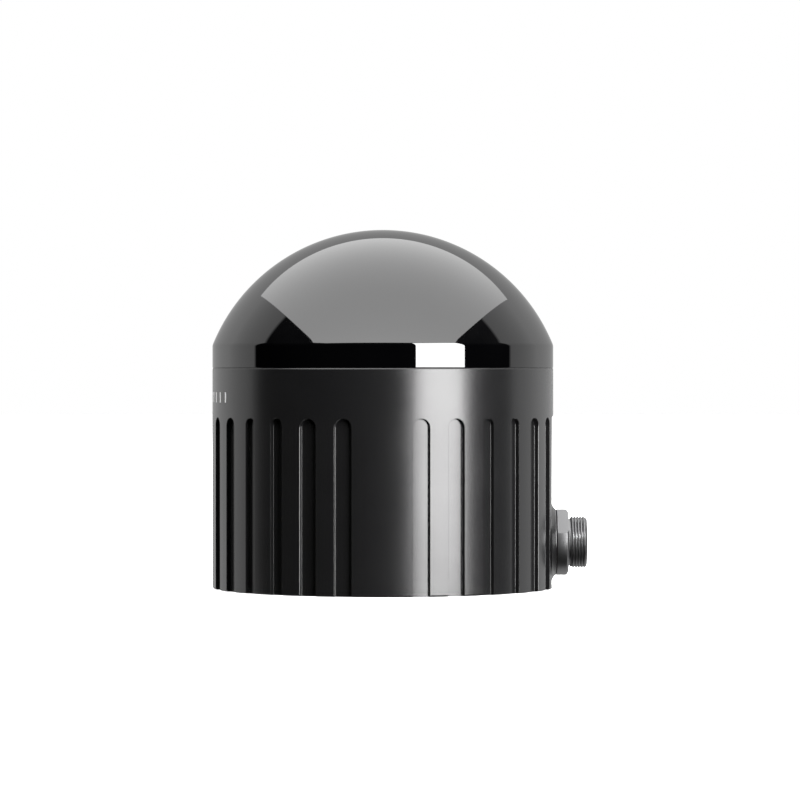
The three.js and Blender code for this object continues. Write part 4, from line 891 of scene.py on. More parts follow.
def dome_section():
    """From the rim's foot up over the cap to the axis, and back down inside."""
    across = BODY_RADIUS - CREASE
    up = math.sqrt((CAP_RADIUS - CREASE) ** 2 - across ** 2)
    meet = math.atan2(up, across)
    rim = arc(CREASE, 0, meet, 8, (across, CAP_CENTRE + up))
    cap = arc(CAP_RADIUS, meet, math.pi / 2, 56, (0, CAP_CENTRE))[1:-1]
    inner_radius = CAP_RADIUS - DOME_WALL
    inner_start = math.acos((BODY_RADIUS - DOME_WALL) / inner_radius)
    inside = arc(inner_radius, math.pi / 2, inner_start, 24, (0, CAP_CENTRE))[1:]
    lip_bottom, groove, half = HOUSING_HEIGHT - 3, HOUSING_HEIGHT - 1.5, 0.65
    return [
        *rim, *cap, (0, DOME_TOP), (0, DOME_TOP - DOME_WALL), *inside,
        (BODY_RADIUS - DOME_WALL, HOUSING_HEIGHT + 2), (LIP_RADIUS - 2.2, HOUSING_HEIGHT + 1, 0.3),
        (LIP_RADIUS - 2.2, lip_bottom, 0.2), (LIP_RADIUS, lip_bottom, 0.3), (LIP_RADIUS, groove - half),
        (LIP_RADIUS - 1.1, groove - half, 0.1), (LIP_RADIUS - 1.1, groove + half, 0.1),
        (LIP_RADIUS, groove + half), (LIP_RADIUS, HOUSING_HEIGHT, 0.1), (BODY_RADIUS, HOUSING_HEIGHT, 0.14),
    ]


dome = lathe("dome", dome_section(), segments=256)
finish_piece(dome, dome_finish, "housing", "dome_gloss", "dome_window")
print("crease of", CREASE, "mm between a rim of", DOME_RIM, "mm and a cap of radius", round(CAP_RADIUS, 2))

# %% [markdown]
# ## The connector
#
# The cable screws onto an M9 x 0.5 thread, half a millimetre from turn to turn. A real helix can be
# drawn by displacement. The lathe leaves fine rows on the nose, and a node tree pushes each
# point in by an amount that depends on its height less its angle. The crest climbs one pitch in each
# turn, and fades at both ends as a cut thread runs out.

# %% Tree: cut a thread
def thread_tree():
    """Pushes points between two heights inwards in a helix. A negative depth pushes them outwards."""
    tree, given = new_tree("cut_thread", {
        "Pitch": "Float", "Depth": "Float", "Start": "Float", "End": "Float",
        "Least Radius": "Float", "Most Radius": "Float", "Material": "Material"})
    position = add(tree, "GeometryNodeInputPosition").outputs[0]
    parts = add(tree, "ShaderNodeSeparateXYZ", {0: position}).outputs
    height = parts["Z"]
    square = sums(tree, "ADD", sums(tree, "MULTIPLY", parts["X"], parts["X"]),
                  sums(tree, "MULTIPLY", parts["Y"], parts["Y"]))
    radius = sums(tree, "SQRT", square)
    turns = sums(tree, "DIVIDE", sums(tree, "ARCTAN2", parts["Y"], parts["X"]), 2 * math.pi)
    climb = sums(tree, "SUBTRACT", sums(tree, "DIVIDE", height, given["Pitch"]), turns)
    wave = sums(tree, "MULTIPLY", sums(tree, "PINGPONG", climb, 0.5), 2.0)
    above_crest = sums(tree, "MAXIMUM", sums(tree, "SUBTRACT", wave, 0.3), 0.0)
    groove = sums(tree, "DIVIDE", above_crest, 0.7)
    enter = sums(tree, "MULTIPLY", sums(tree, "SUBTRACT", height, given["Start"]), 4.0)
    leave = sums(tree, "MULTIPLY", sums(tree, "SUBTRACT", given["End"], height), 6.0)
    fade = add(tree, "ShaderNodeClamp", {"Value": sums(tree, "MINIMUM", enter, leave)}).outputs[0]
    push = sums(tree, "MULTIPLY", sums(tree, "MULTIPLY", groove, fade), given["Depth"])
    wide_enough = sums(tree, "GREATER_THAN", radius, given["Least Radius"])
    small_enough = sums(tree, "LESS_THAN", radius, given["Most Radius"])
    chosen = sums(tree, "MULTIPLY", wide_enough, small_enough)
    flat = add(tree, "ShaderNodeCombineXYZ", {"X": parts["X"], "Y": parts["Y"]}).outputs[0]
    outward = add(tree, "ShaderNodeVectorMath", {0: flat}, operation="NORMALIZE").outputs[0]
    offset = add(tree, "ShaderNodeVectorMath",
                 {0: outward, "Scale": sums(tree, "MULTIPLY", push, -1.0)}, operation="SCALE").outputs[0]
    shaped = add(tree, "GeometryNodeSetPosition",
                 {"Geometry": given["Geometry"], "Selection": chosen, "Offset": offset})
    return close_tree(tree, shaped.outputs[0], given["Material"])


THREAD = thread_tree()
THREAD_PITCH = 0.5
ROW = THREAD_PITCH / 8


def rows(radius, low, high):
    """Closely spaced points up a straight wall, for a thread to be cut in."""
    count = round((high - low) / ROW)
    return [(radius, low + (high - low) * i / count) for i in range(count + 1)]


# %% Connector shell
FLANGE, NECK, SHELL_END = 2.1, 2.45, 5.35
SOCKET_FLOOR = SHELL_END - 4.2
SHELL_BACK = -9.4
IN_PORT = Matrix.Translation((SHELL_START, 0, CONNECTOR_HEIGHT)) @ Matrix.Rotation(math.radians(90), 4, "Y")


def spanner_flat(turn):
    """A cutter for one of the two flats, 9.4 mm apart."""
    tool = box("flat", (4.7, -8, 0.2), (8, 8, FLANGE + 1))
    return moved(tool, Matrix.Rotation(math.radians(turn + 35.4), 4, "Z"))


shell = lathe("shell", [
    (3.05, SHELL_BACK, 0.1), (4.3, SHELL_BACK, 0.15), (4.3, -3.1, 0.05), (3.5, -3.1, 0.05),
    (3.5, -2.1, 0.05), (4.3, -2.1, 0.05), (4.3, 0), (5.8, 0, 0.1), (5.8, FLANGE - 0.35, 0.08),
    (5.3, FLANGE, 0.08), (4.1, FLANGE), (4.1, NECK), (4.3, NECK), *rows(4.5, NECK + 0.18, SHELL_END - 0.35),
    (4.15, SHELL_END, 0.06), (3.5, SHELL_END, 0.08), (3.5, SOCKET_FLOOR), (3.05, SOCKET_FLOOR),
], segments=144)
run_tree(shell, THREAD, pitch=THREAD_PITCH, depth=0.22, start=NECK, end=SHELL_END - 0.2,
         least_radius=4.45, most_radius=4.6, material=connector_plate)
combine(shell, [spanner_flat(0), spanner_flat(180)])
key = box("key", (-3.75, -0.5, SOCKET_FLOOR + 0.15), (-3.0, 0.5, SHELL_END - 0.6), 0.08)
combine(shell, [key], "UNION")
moved(shell, IN_PORT)
finish_piece(shell, connector_plate, "housing", "connector_plate", "connector_shell")

# %% [markdown]
# ## Repeats round a circle
#
# Screws, pins, balls, coils and slots are all one shape set round a circle. One node tree does it for
# every case. It takes the shape, how many, the angles and how far out, and either leaves the copies
# as a piece or cuts them from one.

# %% Tree: a ring of copies
def ring_tree(name, cutting):
    """Copies of a piece set round Z, kept as they are or cut from the geometry that comes in."""
    tree, given = new_tree(name, {
        "Shape": "Object", "Count": "Int", "First Angle": "Float", "Pitch": "Float",
        "Material": "Material"})
    points = add(tree, "GeometryNodeMeshLine", {"Count": given["Count"], "Offset": (0, 0, 0)})
    index = add(tree, "GeometryNodeInputIndex").outputs[0]
    degrees = sums(tree, "ADD", given["First Angle"], sums(tree, "MULTIPLY", given["Pitch"], index))
    turn = add(tree, "ShaderNodeCombineXYZ", {"Z": sums(tree, "RADIANS", degrees)})
    shape = add(tree, "GeometryNodeObjectInfo", {"Object": given["Shape"]})
    copies = add(tree, "GeometryNodeInstanceOnPoints", {
        "Points": points.outputs[0], "Instance": shape.outputs["Geometry"], "Rotation": turn.outputs[0]})
    made = copies.outputs[0]
    if cutting:
        real = add(tree, "GeometryNodeRealizeInstances", {"Geometry": made})
        cut = add(tree, "GeometryNodeMeshBoolean", {"Mesh 1": given["Geometry"], "Mesh 2": real.outputs[0]},
                  operation="DIFFERENCE", solver="MANIFOLD")
        made = cut.outputs["Mesh"]
    return close_tree(tree, made, given["Material"])


RING_OF = ring_tree("ring_of_copies", False)
CUT_RING = ring_tree("cut_a_ring", True)


def ring_of(name, shape, count, first=0.0, pitch=None, material=None):
    """A new piece of copies of a shape, which is removed. The shape is drawn at its distance from Z."""
    carrier = bpy.data.objects.new(name, bpy.data.meshes.new(name))
    bpy.context.scene.collection.objects.link(carrier)
    run_tree(carrier, RING_OF, shape=shape, count=count, first_angle=float(first),
             pitch=float(pitch or 360 / count), material=material)
    bpy.data.objects.remove(shape)
    return carrier


def cut_ring(piece, shape, count, first=0.0, pitch=None, material=None):
    """Cuts copies of a shape from a piece, and removes the shape."""
    run_tree(piece, CUT_RING, shape=shape, count=count, first_angle=float(first),
             pitch=float(pitch or 360 / count), material=material)
    bpy.data.objects.remove(shape)
    return piece


def across(piece, x, y=0.0, z=0.0):
    """Shifts a piece before it is copied or cut."""
    return moved(piece, Matrix.Translation((x, y, z)))


print("repeat trees:", RING_OF.name, CUT_RING.name)

# %% [markdown]
# ## The base
#
# The underside is what a robot builder sees first. It has four M3 threads to hold the module, two
# locating holes, four countersunk screws and a breather. The threads are real: a rod gets the same helix
# as the connector, pushed outwards, and is then cut from the plate.

# %% Base cover
COVER = 2.2
MOUNT_CIRCLE = 12 * math.sqrt(2)
VENT_AT = -15.0


def tapped_hole():
    """The shape that an M3 tap leaves: a countersink, a helix and a drill's cone."""
    tool = lathe("tapped_hole", [
        (0, -1), (1.75, -1), (1.75, 0), *rows(1.25, 0.35, 4.4), (1.25, 4.5), (0.4, 4.9), (0, 4.9)], 40)
    return run_tree(tool, THREAD, pitch=THREAD_PITCH, depth=-0.24, start=0.1, end=4.5,
                    least_radius=1.2, most_radius=1.3, material=anodised_cover)


def cover_screw_hole():
    """A clearance hole with a cone for the screw's head."""
    return lathe("cover_hole", [(0, -1), (2.05, -1), (2.05, 0.1), (1.15, 1.2), (1.15, 3.5), (0, 3.5)], 40)


plate = lathe("base_plate", [
    (0, 0), (24.85, 0, 0.25), (24.85, 0.45, 0.05), (23.75, 0.45, 0.05), (23.75, 1.75, 0.05),
    (24.85, 1.75, 0.05), (24.85, COVER, 0.1), (0, COVER)], segments=240)
boss = across(lathe("boss", [(0, 1.1), (2.8, 1.1), (2.8, 5.8, 0.25), (0, 5.8)], 48), MOUNT_CIRCLE)
combine(plate, [ring_of("bosses", boss, 4, 45)], "UNION")
cut_ring(plate, across(tapped_hole(), MOUNT_CIRCLE), 4, 45, material=anodised_cover)
for first in (60, 240):
    cut_ring(plate, across(cover_screw_hole(), SCREW_CIRCLE), 2, first, 60, anodised_cover)
locator = lathe("locator", [(0, -1), (1.25, -1), (1.25, 0), (1.0, 0.25), (1.0, 1.4), (0, 1.4)], 40)
cut_ring(plate, across(locator, 15), 2, 90, material=anodised_cover)
vent_seat = lathe("vent_seat", [(0, -1), (2.55, -1), (2.55, 1.0), (1.55, 1.0), (1.55, 3.2), (0, 3.2)], 48)
combine(plate, [across(vent_seat, VENT_AT)])
finish_piece(plate, anodised_cover, "housing", "anodised_black", "base_cover")


# %% Cover screws
def hexagon_outline(corner):
    """The six corners of a hexagon, at this distance from its middle."""
    turns = [math.radians(60 * i) for i in range(6)]
    return [(corner * math.cos(a), corner * math.sin(a)) for a in turns]


def cover_screw():
    """A countersunk M2 screw with a hexagon socket."""
    screw = lathe("screw", [
        (0, 0), (1.9, 0, 0.06), (1.9, 0.15, 0.04), (1.0, 1.0), *rows(1.0, 1.4, 5.6),
        (0.7, 6.0), (0, 6.0)], 40)
    run_tree(screw, THREAD, pitch=0.4, depth=0.16, start=1.3, end=5.8,
             least_radius=0.95, most_radius=1.05, material=screw_black)
    hexagon = hexagon_outline(0.75)
    wide = [(1.2 * x, 1.2 * y) for x, y in hexagon]
    return combine(screw, [stack("socket", [(-1, wide), (-0.001, wide), (0.1, hexagon), (0.8, hexagon)])])


first_pair = ring_of("pair", across(cover_screw(), SCREW_CIRCLE, 0, 0.1), 2, 60, 60, screw_black)
second_pair = ring_of("pair", across(cover_screw(), SCREW_CIRCLE, 0, 0.1), 2, 240, 60, screw_black)
screws = joined("base_screws", [first_pair, second_pair])
screw_nodes = [f"base_screw_{i}" for i in range(1, 5)]
finish_piece(screws, screw_black, "housing", "screw_black", *screw_nodes)

# %% Breather
vent = lathe("breather", [
    (0.5, 0.35, 0.05), (1.7, 0.35), (1.7, 0, 0.08), (2.4, 0, 0.15), (2.4, 0.85, 0.05), (1.4, 0.85),
    (1.4, 2.7, 0.1), (0.5, 2.7)], segments=64)
slit = box("slit", (1.55, -0.18, -1), (2.8, 0.18, 0.3))
cut_ring(vent, slit, 3, 30, material=moulded_black)
across(vent, VENT_AT, 0, 0.1)
finish_piece(vent, moulded_black, "housing", "moulded_black", "vent_plug")


# %% Seals
CORD = 0.55  # radius of the two large seals' cord
PORT_CORD = 0.4


def seal(place, radius, height, cord, matrix=Matrix.Identity(4)):
    """An O-ring: a round cord turned round an axis."""
    circle = arc(cord, 0, 2 * math.pi, 20, (radius, height))[:-1]
    ring = moved(lathe(f"{place}_seal_cord", circle, segments=160), matrix)
    finish_piece(ring, seal_rubber, "housing", "seal_rubber", f"{place}_seal_ring")


seal("dome", LIP_RADIUS + 0.05 - CORD, HOUSING_HEIGHT - 1.5, CORD)
seal("base", BORE_RADIUS - 0.15 + 0.05 - CORD, COVER / 2, CORD)
seal("connector", 4.35 - PORT_CORD, -2.6, PORT_CORD, IN_PORT)

# %% [markdown]
# ## Contacts and nut
#
# Inside the connector a moulded insert carries six gold pins, one in the middle and five round it. A
# hexagon nut clamps the barrel from inside. Its corners are rounded off where a cone meets the hexagon, as
# on any turned nut, so the shape is the part that a hexagon and a turned blank have in common.

# %% Insert, pins, nut
PIN_CIRCLE = 2.1
insert = lathe("insert", [
    (0, SHELL_BACK), (3.0, SHELL_BACK), (3.0, SOCKET_FLOOR, 0.15), (0, SOCKET_FLOOR)], 96)


def pin_hole():
    """The hole for one pin, with a countersink."""
    top = SOCKET_FLOOR
    return lathe("pin_hole", [(0, -11), (0.43, -11), (0.43, top - 0.2), (0.63, top), (0.63, 2), (0, 2)], 24)


combine(insert, [pin_hole()])
cut_ring(insert, across(pin_hole(), PIN_CIRCLE), 5, material=moulded_black)
moved(insert, IN_PORT)
finish_piece(insert, moulded_black, "housing", "moulded_black", "connector_insert")


def pin():
    """A round contact with a rounded tip and a slim solder tail."""
    tip = SOCKET_FLOOR + 3.2
    return lathe("pin", [(0, -10.6), (0.26, -10.6, 0.05), (0.26, SHELL_BACK - 0.1), (0.38, SHELL_BACK),
                         (0.38, tip, 0.3), (0, tip)], 24, steps=4)


pins = joined("contact_pins", [pin(), ring_of("outer_pins", across(pin(), PIN_CIRCLE), 5, material=pin_gold)])
moved(pins, IN_PORT)
finish_piece(pins, pin_gold, "housing", "pin_gold", *[f"contact_pin_{i}" for i in range(1, 7)])


def hex_nut(name, corner, bore, low, high):
    """A hexagon with its corners turned off at both ends."""
    outline = hexagon_outline(corner)
    nut = stack(name, [(low, outline), (high, outline)])
    side = corner * 0.9
    blank = lathe("blank", [(bore, low), (side, low), (corner + 0.01, low + 0.25),
                            (corner + 0.01, high - 0.25), (side, high), (bore, high)], 96)
    return combine(nut, [blank], "INTERSECT")


NUT_FROM, NUT_TO = (corner.x / MM - SHELL_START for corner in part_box("connector_nut"))
nut = moved(hex_nut("back_nut", 5.5, 4.35, NUT_FROM, NUT_TO), IN_PORT)
finish_piece(nut, connector_plate, "housing", "connector_plate", "connector_nut")

# %% [markdown]
# ## The spindle and its bearings
#
# Everything inside that turns, or that something turns on, is round. A table of sections is the clearest
# way to make these: each line names the piece, its body and finish, and lists its corners, and one
# loop turns them all. The heights come from the deck that the spindle is bolted to.

# %% Turned pieces inside
LOWER_BEARING = DECK_TOP + 3.0
UPPER_BEARING = LOWER_BEARING + 8.4
BEARING_WIDTH = 3.0
BEARINGS_TOP = UPPER_BEARING + BEARING_WIDTH
SPINDLE_TOP = BEARINGS_TOP + 1.4
HUB_BOTTOM = LOWER_BEARING - 0.8
HUB_BORE, HUB_RADIUS = 6.1, 7.7
MAGNET_BOTTOM = HUB_BOTTOM + 1.8
PLATFORM_BOTTOM = BEARINGS_TOP - 0.8
PLATFORM_TOP = PLATFORM_BOTTOM + 2.0
PLATFORM_RADIUS = 23.4


def ring_section(inner, outer, low, high, edge=0.1):
    """A plain ring with its edges broken."""
    return [(inner, low, edge), (outer, low, edge), (outer, high, edge), (inner, high, edge)]


def race_section(side, wall, low):
    """A bearing race, with the round groove that its balls run in. The wall faces away from them."""
    middle = low + BEARING_WIDTH / 2
    inwards = 1 if wall > side else -1
    turns = [math.radians(-60 + 120 * i / 8) for i in range(9)]
    groove = [(side + inwards * 0.7 * (math.cos(a) - 0.5), middle + 0.7 * math.sin(a)) for a in turns]
    return [(wall, low, 0.15), (side, low, 0.08), *groove, (side, low + BEARING_WIDTH, 0.08),
            (wall, low + BEARING_WIDTH, 0.15)]


def spindle_section():
    """Flange under the deck, shoulder for the lower bearing, and a hollow stem for the light link."""
    foot = DECK_BOTTOM - 1.6
    return [(1.5, foot, 0.15), (7.5, foot, 0.2), (7.5, DECK_BOTTOM, 0.1), (3.0, DECK_BOTTOM),
            (3.0, DECK_TOP + 0.05), (4.0, DECK_TOP + 0.05), (4.0, LOWER_BEARING, 0.08),
            (3.0, LOWER_BEARING),
            (3.0, SPINDLE_TOP, 0.25), (1.5, SPINDLE_TOP, 0.15)]


def hub_section():
    """The tube that the bearings are pressed into, and its flange under the platform."""
    seat_top, seat_low = LOWER_BEARING + BEARING_WIDTH + 0.05, UPPER_BEARING - 0.05
    under = PLATFORM_BOTTOM - 1.4
    return [(HUB_BORE, HUB_BOTTOM, 0.15), (HUB_RADIUS, HUB_BOTTOM, 0.15), (HUB_RADIUS, under, 0.3),
            (10.4, under, 0.2), (10.4, PLATFORM_BOTTOM, 0.1), (HUB_RADIUS, PLATFORM_BOTTOM),
            (HUB_RADIUS, PLATFORM_BOTTOM + 0.8, 0.15), (HUB_BORE, PLATFORM_BOTTOM + 0.8, 0.15),
            (HUB_BORE, seat_low), (5.1, seat_low, 0.15), (5.1, seat_top, 0.15), (HUB_BORE, seat_top)]


TURNED = [
    ("spindle_post", "spindle", "housing", bright_steel, "bright_steel", spindle_section()),
    ("lower_inner_race", "lower_bearing_inner_race", "housing", bright_steel, "bright_steel",
     race_section(4.05, 3.05, LOWER_BEARING)),
    ("upper_inner_race", "upper_bearing_inner_race", "housing", bright_steel, "bright_steel",
     race_section(4.05, 3.05, UPPER_BEARING)),
    ("lower_outer_race", "lower_bearing_outer_race", "rotor", bright_steel, "bright_steel",
     race_section(5.05, 6.05, LOWER_BEARING)),
    ("upper_outer_race", "upper_bearing_outer_race", "rotor", bright_steel, "bright_steel",
     race_section(5.05, 6.05, UPPER_BEARING)),
    ("hub", "rotor_hub", "rotor", bare_alloy, "bare_alloy", hub_section()),
    ("magnet", "magnet_ring", "rotor", magnet_plate, "magnet_plate",
     ring_section(7.75, 9.75, MAGNET_BOTTOM, MAGNET_BOTTOM + 5.6, 0.2)),
    ("fixed_coil", "fixed_power_coil", "housing", coil_copper, "coil_copper",
     ring_section(4.5, 11.4, DECK_TOP, DECK_TOP + 1.3, 0.3)),
    ("rotor_coil", "rotor_power_coil", "rotor", coil_copper, "coil_copper",
     ring_section(7.75, 11.4, HUB_BOTTOM, HUB_BOTTOM + 1.3, 0.3)),
]
for name, node, body, material, slot, section in TURNED:
    finish_piece(lathe(name, section, 128), material, body, slot, node)

# %% [markdown]
# Nine balls run in each bearing, held apart by a cage. They ride on a body of their own, because a ball
# between a still race and a turning one goes round at little more than half the speed.

# %% Balls and cages
BALL_COUNT = 9
BALL_RADIUS = 0.65
BALL_CIRCLE = 4.55
for name, height in (("lower", LOWER_BEARING), ("upper", UPPER_BEARING)):
    middle = height + BEARING_WIDTH / 2
    half_round = arc(BALL_RADIUS, -math.pi / 2, math.pi / 2, 12)[1:-1]
    ball = lathe("ball", [(0, -BALL_RADIUS), *half_round, (0, BALL_RADIUS)], 24)
    balls = ring_of("balls", across(ball, BALL_CIRCLE, 0, middle), BALL_COUNT, material=bright_steel)
    cage = lathe("cage", ring_section(4.35, 4.75, middle - 0.2, middle + 0.2, 0.05), 96)
    caged = joined(f"{name}_caged_balls", [balls, cage])
    finish_piece(caged, bright_steel, f"{name}_ball_cage", "bright_steel", f"{name}_bearing_balls")

nut = hex_nut("spindle_top_nut", 4.05, 3.05, BEARINGS_TOP, SPINDLE_TOP)
finish_piece(nut, bright_steel, "housing", "bright_steel", "spindle_nut")

# %% [markdown]
# ## The motor
#
# The core is a stack of iron sheets with nine teeth, and each tooth carries a coil. One coil is a
# block of wire with rounded corners, with a tooth's room left inside. The ring tree sets nine of each.

# %% Core and winding
TEETH = 9
CORE_BOTTOM = MAGNET_BOTTOM + 0.8
CORE_TOP = CORE_BOTTOM + 4.0
COIL_BOTTOM, COIL_TOP = CORE_BOTTOM - 1.1, CORE_TOP + 1.1


def tooth():
    """A stem from the yoke in, and a shoe that spreads at the air gap."""
    stem = box("tooth", (10.3, -1.5, CORE_BOTTOM), (15.8, 1.5, CORE_TOP), 0.08)
    shoe = box("shoe", (9.8, -2.5, CORE_BOTTOM), (11.15, 2.5, CORE_TOP), 0.15)
    return combine(stem, [shoe], "UNION")


core = lathe("core", ring_section(15.35, 17.75, CORE_BOTTOM, CORE_TOP, 0.06), 180)
combine(core, [ring_of("teeth", tooth(), TEETH, material=core_iron)], "UNION")
combine(core, [round_tool("core_bore", 10.15, CORE_BOTTOM - 1, CORE_TOP + 1, 180)])
finish_piece(core, core_iron, "housing", "core_iron", "stator_core")


def coil():
    """Wire wound on a tooth: rounded outside, with a straight hole for the tooth and its insulation."""
    wound = box("coil", (11.25, -2.6, COIL_BOTTOM), (14.82, 2.6, COIL_TOP), 0.55)
    return combine(wound, [box("room", (10, -1.6, COIL_BOTTOM + 1), (16, 1.6, COIL_TOP - 1))])


coils = [ring_of("coils", coil(), TEETH, material=coil_copper)]
for low in (COIL_BOTTOM, CORE_TOP + 0.1):
    coils.append(lathe("coil_ring", ring_section(13.22, 14.82, low, low + 1.0, 0.2), 128))
winding = combine(coils[0], coils[1:], "UNION")
winding.name = "winding"
finish_piece(winding, coil_copper, "housing", "coil_copper", "stator_winding")

# %% [markdown]
# ## The spinning platform
#
# The platform carries the optical head. Under its edge is the slotted disc that an optical reader counts.
# On top are a round circuit board on three pads, and a weight that balances the lenses.

# %% Platform, disc, weight
PAD_TOP = PLATFORM_TOP + 1.6
PAD_CIRCLE = 11.5
DISC_RADIUS = PLATFORM_RADIUS - 1.0
DISC_SLOTS = 20
platform = lathe("platform", ring_section(7.75, PLATFORM_RADIUS, PLATFORM_BOTTOM, PLATFORM_TOP, 0.2), 180)
pad = lathe("pad", [
    (0, PLATFORM_TOP - 0.5), (1.2, PLATFORM_TOP - 0.5), (1.2, PAD_TOP, 0.1), (0, PAD_TOP)], 32)
combine(platform, [ring_of("pads", across(pad, PAD_CIRCLE), 3, 60)], "UNION")
finish_piece(platform, bare_alloy, "rotor", "bare_alloy", "rotor_platform")

disc = lathe("disc", ring_section(10.55, DISC_RADIUS, PLATFORM_BOTTOM - 0.6, PLATFORM_BOTTOM, 0.05), 180)
notch = box("notch", (DISC_RADIUS - 2.1, -0.8, PLATFORM_BOTTOM - 2),
            (DISC_RADIUS - 0.7, 0.8, PLATFORM_BOTTOM + 1))
cut_ring(disc, notch, DISC_SLOTS, material=bright_steel)
finish_piece(disc, bright_steel, "rotor", "bright_steel", "code_disc")


def arc_block(name, inner, outer, half, low, high, edge, steps=32):
    """Part of a ring about the -X side, with its long edges chamfered."""
    levels = []
    for height, inset in ((low, edge), (low + edge, 0), (high - edge, 0), (high, edge)):
        swing = math.radians(half) - inset / outer
        out = arc(outer - inset, math.pi - swing, math.pi + swing, steps)
        back = arc(inner + inset, math.pi + swing, math.pi - swing, steps)
        levels.append((height, out + back))
    return stack(name, levels, strips=True)


weight = arc_block("weight", 17.6, 23.0, 38, PLATFORM_TOP, PLATFORM_TOP + 5, 0.3)
finish_piece(weight, magnet_plate, "rotor", "magnet_plate", "balance_weight")

# %% [markdown]
# ## Circuit boards
#
# The main board hangs under the deck on three hexagonal posts, and the spinning board sits on the
# platform's pads. Both are round, with broken edges.

# %% Circuit boards
BOARD_TOP = 16.7
BOARD_BOTTOM = 15.3
BOARD_RADIUS = 22.4
ROTOR_BOARD_RADIUS = 13
POST_CIRCLE = 18.6


def round_board(name, radius, low, high, segments):
    """A round plate with broken edges."""
    return lathe(name, [(0, low), (radius, low, 0.1), (radius, high, 0.1), (0, high)], segments)


main_board = round_board("main_board_plate", BOARD_RADIUS, BOARD_BOTTOM, BOARD_TOP, 160)
finish_piece(main_board, board_green, "housing", "board_green", "main_board")
rotor_board = round_board("rotor_board_plate", ROTOR_BOARD_RADIUS, PAD_TOP, PAD_TOP + 1, 128)
finish_piece(rotor_board, board_green, "rotor", "board_green", "rotor_board")
for i in range(3):
    post = stack(f"post_{i + 1}", [(BOARD_TOP, hexagon_outline(2)), (DECK_BOTTOM, hexagon_outline(2))])
    place = Matrix.Rotation(math.radians(90 + 120 * i), 4, "Z") @ Matrix.Translation((POST_CIRCLE, 0, 0))
    finish_piece(moved(post, place), bright_steel, "housing", "bright_steel", f"board_post_{i + 1}")
print("board at", BOARD_BOTTOM, "mm, spinning board at", PAD_TOP, "mm")

# %% [markdown]
# ## The optical head
#
# The transmitting and the receiving lens sit side by side in a holder, and look up at 45 degrees. Each
# has a tube with a shelf for the lens, ribbed on the inside so that stray light doesn't reach the
# detector. They are drawn along Z, then turned and shifted to look along the holder's own axis.

# %% Tubes and lenses
LOOK_UP = 45
HEAD_HEIGHT = 49.5
HEAD = Matrix.Translation((0, 0, HEAD_HEIGHT)) @ Matrix.Rotation(math.radians(-LOOK_UP), 4, "Y")
OPTIC_OFFSET = 7.6
TUBE_BORE, TUBE_RADIUS = 5.7, 6.7
TUBE_BACK, TUBE_FRONT = -4.9, 5.4


def tube_section():
    """A tube with a shelf for the lens, and light-trapping grooves behind it."""
    bore = [(TUBE_BORE, TUBE_BACK)]
    for i in range(5):
        depth = -4.2 + i
        bore += [(TUBE_BORE, depth), (TUBE_BORE + 0.2, depth + 0.3), (TUBE_BORE, depth + 0.6)]
    shelf = [(TUBE_BORE, 1.6), (4.7, 1.6, 0.1), (4.7, 2.1, 0.1), (TUBE_BORE, 2.1)]
    outside = [(TUBE_BORE, TUBE_FRONT, 0.1), (TUBE_RADIUS, TUBE_FRONT, 0.15), (TUBE_RADIUS, TUBE_BACK, 0.15)]
    return [*bore, *shelf, *outside]


def lens_section():
    """A flat-backed lens with a ground edge and a curved front."""
    radius, back, edge, crown = 5.65, 2.2, 3.7, 0.9
    curve = (radius ** 2 + crown ** 2) / (2 * crown)
    turns = [math.asin(radius / curve) * (1 - i / 16) for i in range(17)]
    front = [(curve * math.sin(a), edge + crown - curve * (1 - math.cos(a))) for a in turns]
    return [(0, back), (radius, back, 0.1), *front]


for side, role in ((1, "transmitter"), (-1, "receiver")):
    beside = Matrix.Translation((0, side * OPTIC_OFFSET, 0))
    place = HEAD @ beside @ Matrix.Rotation(math.radians(90), 4, "Y")
    tube = moved(lathe(f"{role}_barrel", tube_section(), 96), place)
    finish_piece(tube, moulded_black, "rotor", "moulded_black", f"{role}_tube")
    lens = moved(lathe(f"{role}_glass", lens_section(), 96), place)
    finish_piece(lens, lens_glass, "rotor", "lens_glass", f"{role}_lens", crease=40)

# %% [markdown]
# ## Studio
#
# A gloss black object shows almost nothing of itself: it shows the studio. A large soft panel
# hangs overhead, brighter towards the camera. One upright strip light stands to the camera's right, and
# the back half of the room is pale. The front half is dark, which leaves the dome's black band.

# %% Lights
def emitter(name, corners, radiance):
    """A glowing sheet that the camera doesn't see."""
    made = bmesh.new()
    rings = [[made.verts.new(corner) for corner in row] for row in corners]
    for near, far in zip(rings, rings[1:]):
        for i in range(len(near) - 1):
            made.faces.new((near[i], near[i + 1], far[i + 1], far[i]))
    sheet = new_piece(name, made)
    material = bpy.data.materials.new(name)
    material.use_nodes = True
    tree = material.node_tree
    tree.nodes.clear()
    light = add(tree, "ShaderNodeEmission")
    radiance(tree, light)
    add(tree, "ShaderNodeOutputMaterial", {"Surface": light.outputs[0]})
    sheet.data.materials.append(material)
    sheet.visible_camera = False
    sheet.visible_shadow = False
    return sheet


PANEL_HEIGHT = 0.8


def fading(tree, light):
    """Brighter at the camera's side, and fading to the back."""
    point = add(tree, "ShaderNodeTexCoord").outputs["Object"]
    along = add(tree, "ShaderNodeSeparateXYZ", {0: point}).outputs["Y"]
    feeds = {"Value": along, "From Min": -PANEL_HEIGHT, "From Max": 1.24 * PANEL_HEIGHT,
             "To Min": 6.0, "To Max": 2.6}
    tree.links.new(add(tree, "ShaderNodeMapRange", feeds).outputs[0], light.inputs["Strength"])


def even(tree, light):
    """The same all over."""
    light.inputs["Strength"].default_value = 25.0


panel_rows = [[(side * PANEL_HEIGHT, depth * PANEL_HEIGHT, PANEL_HEIGHT) for side in sides]
              for depth, sides in ((-1.0, (-0.9, 0.94)), (1.24, (-1.02, 1.06)))]
emitter("ceiling_panel", panel_rows, fading)

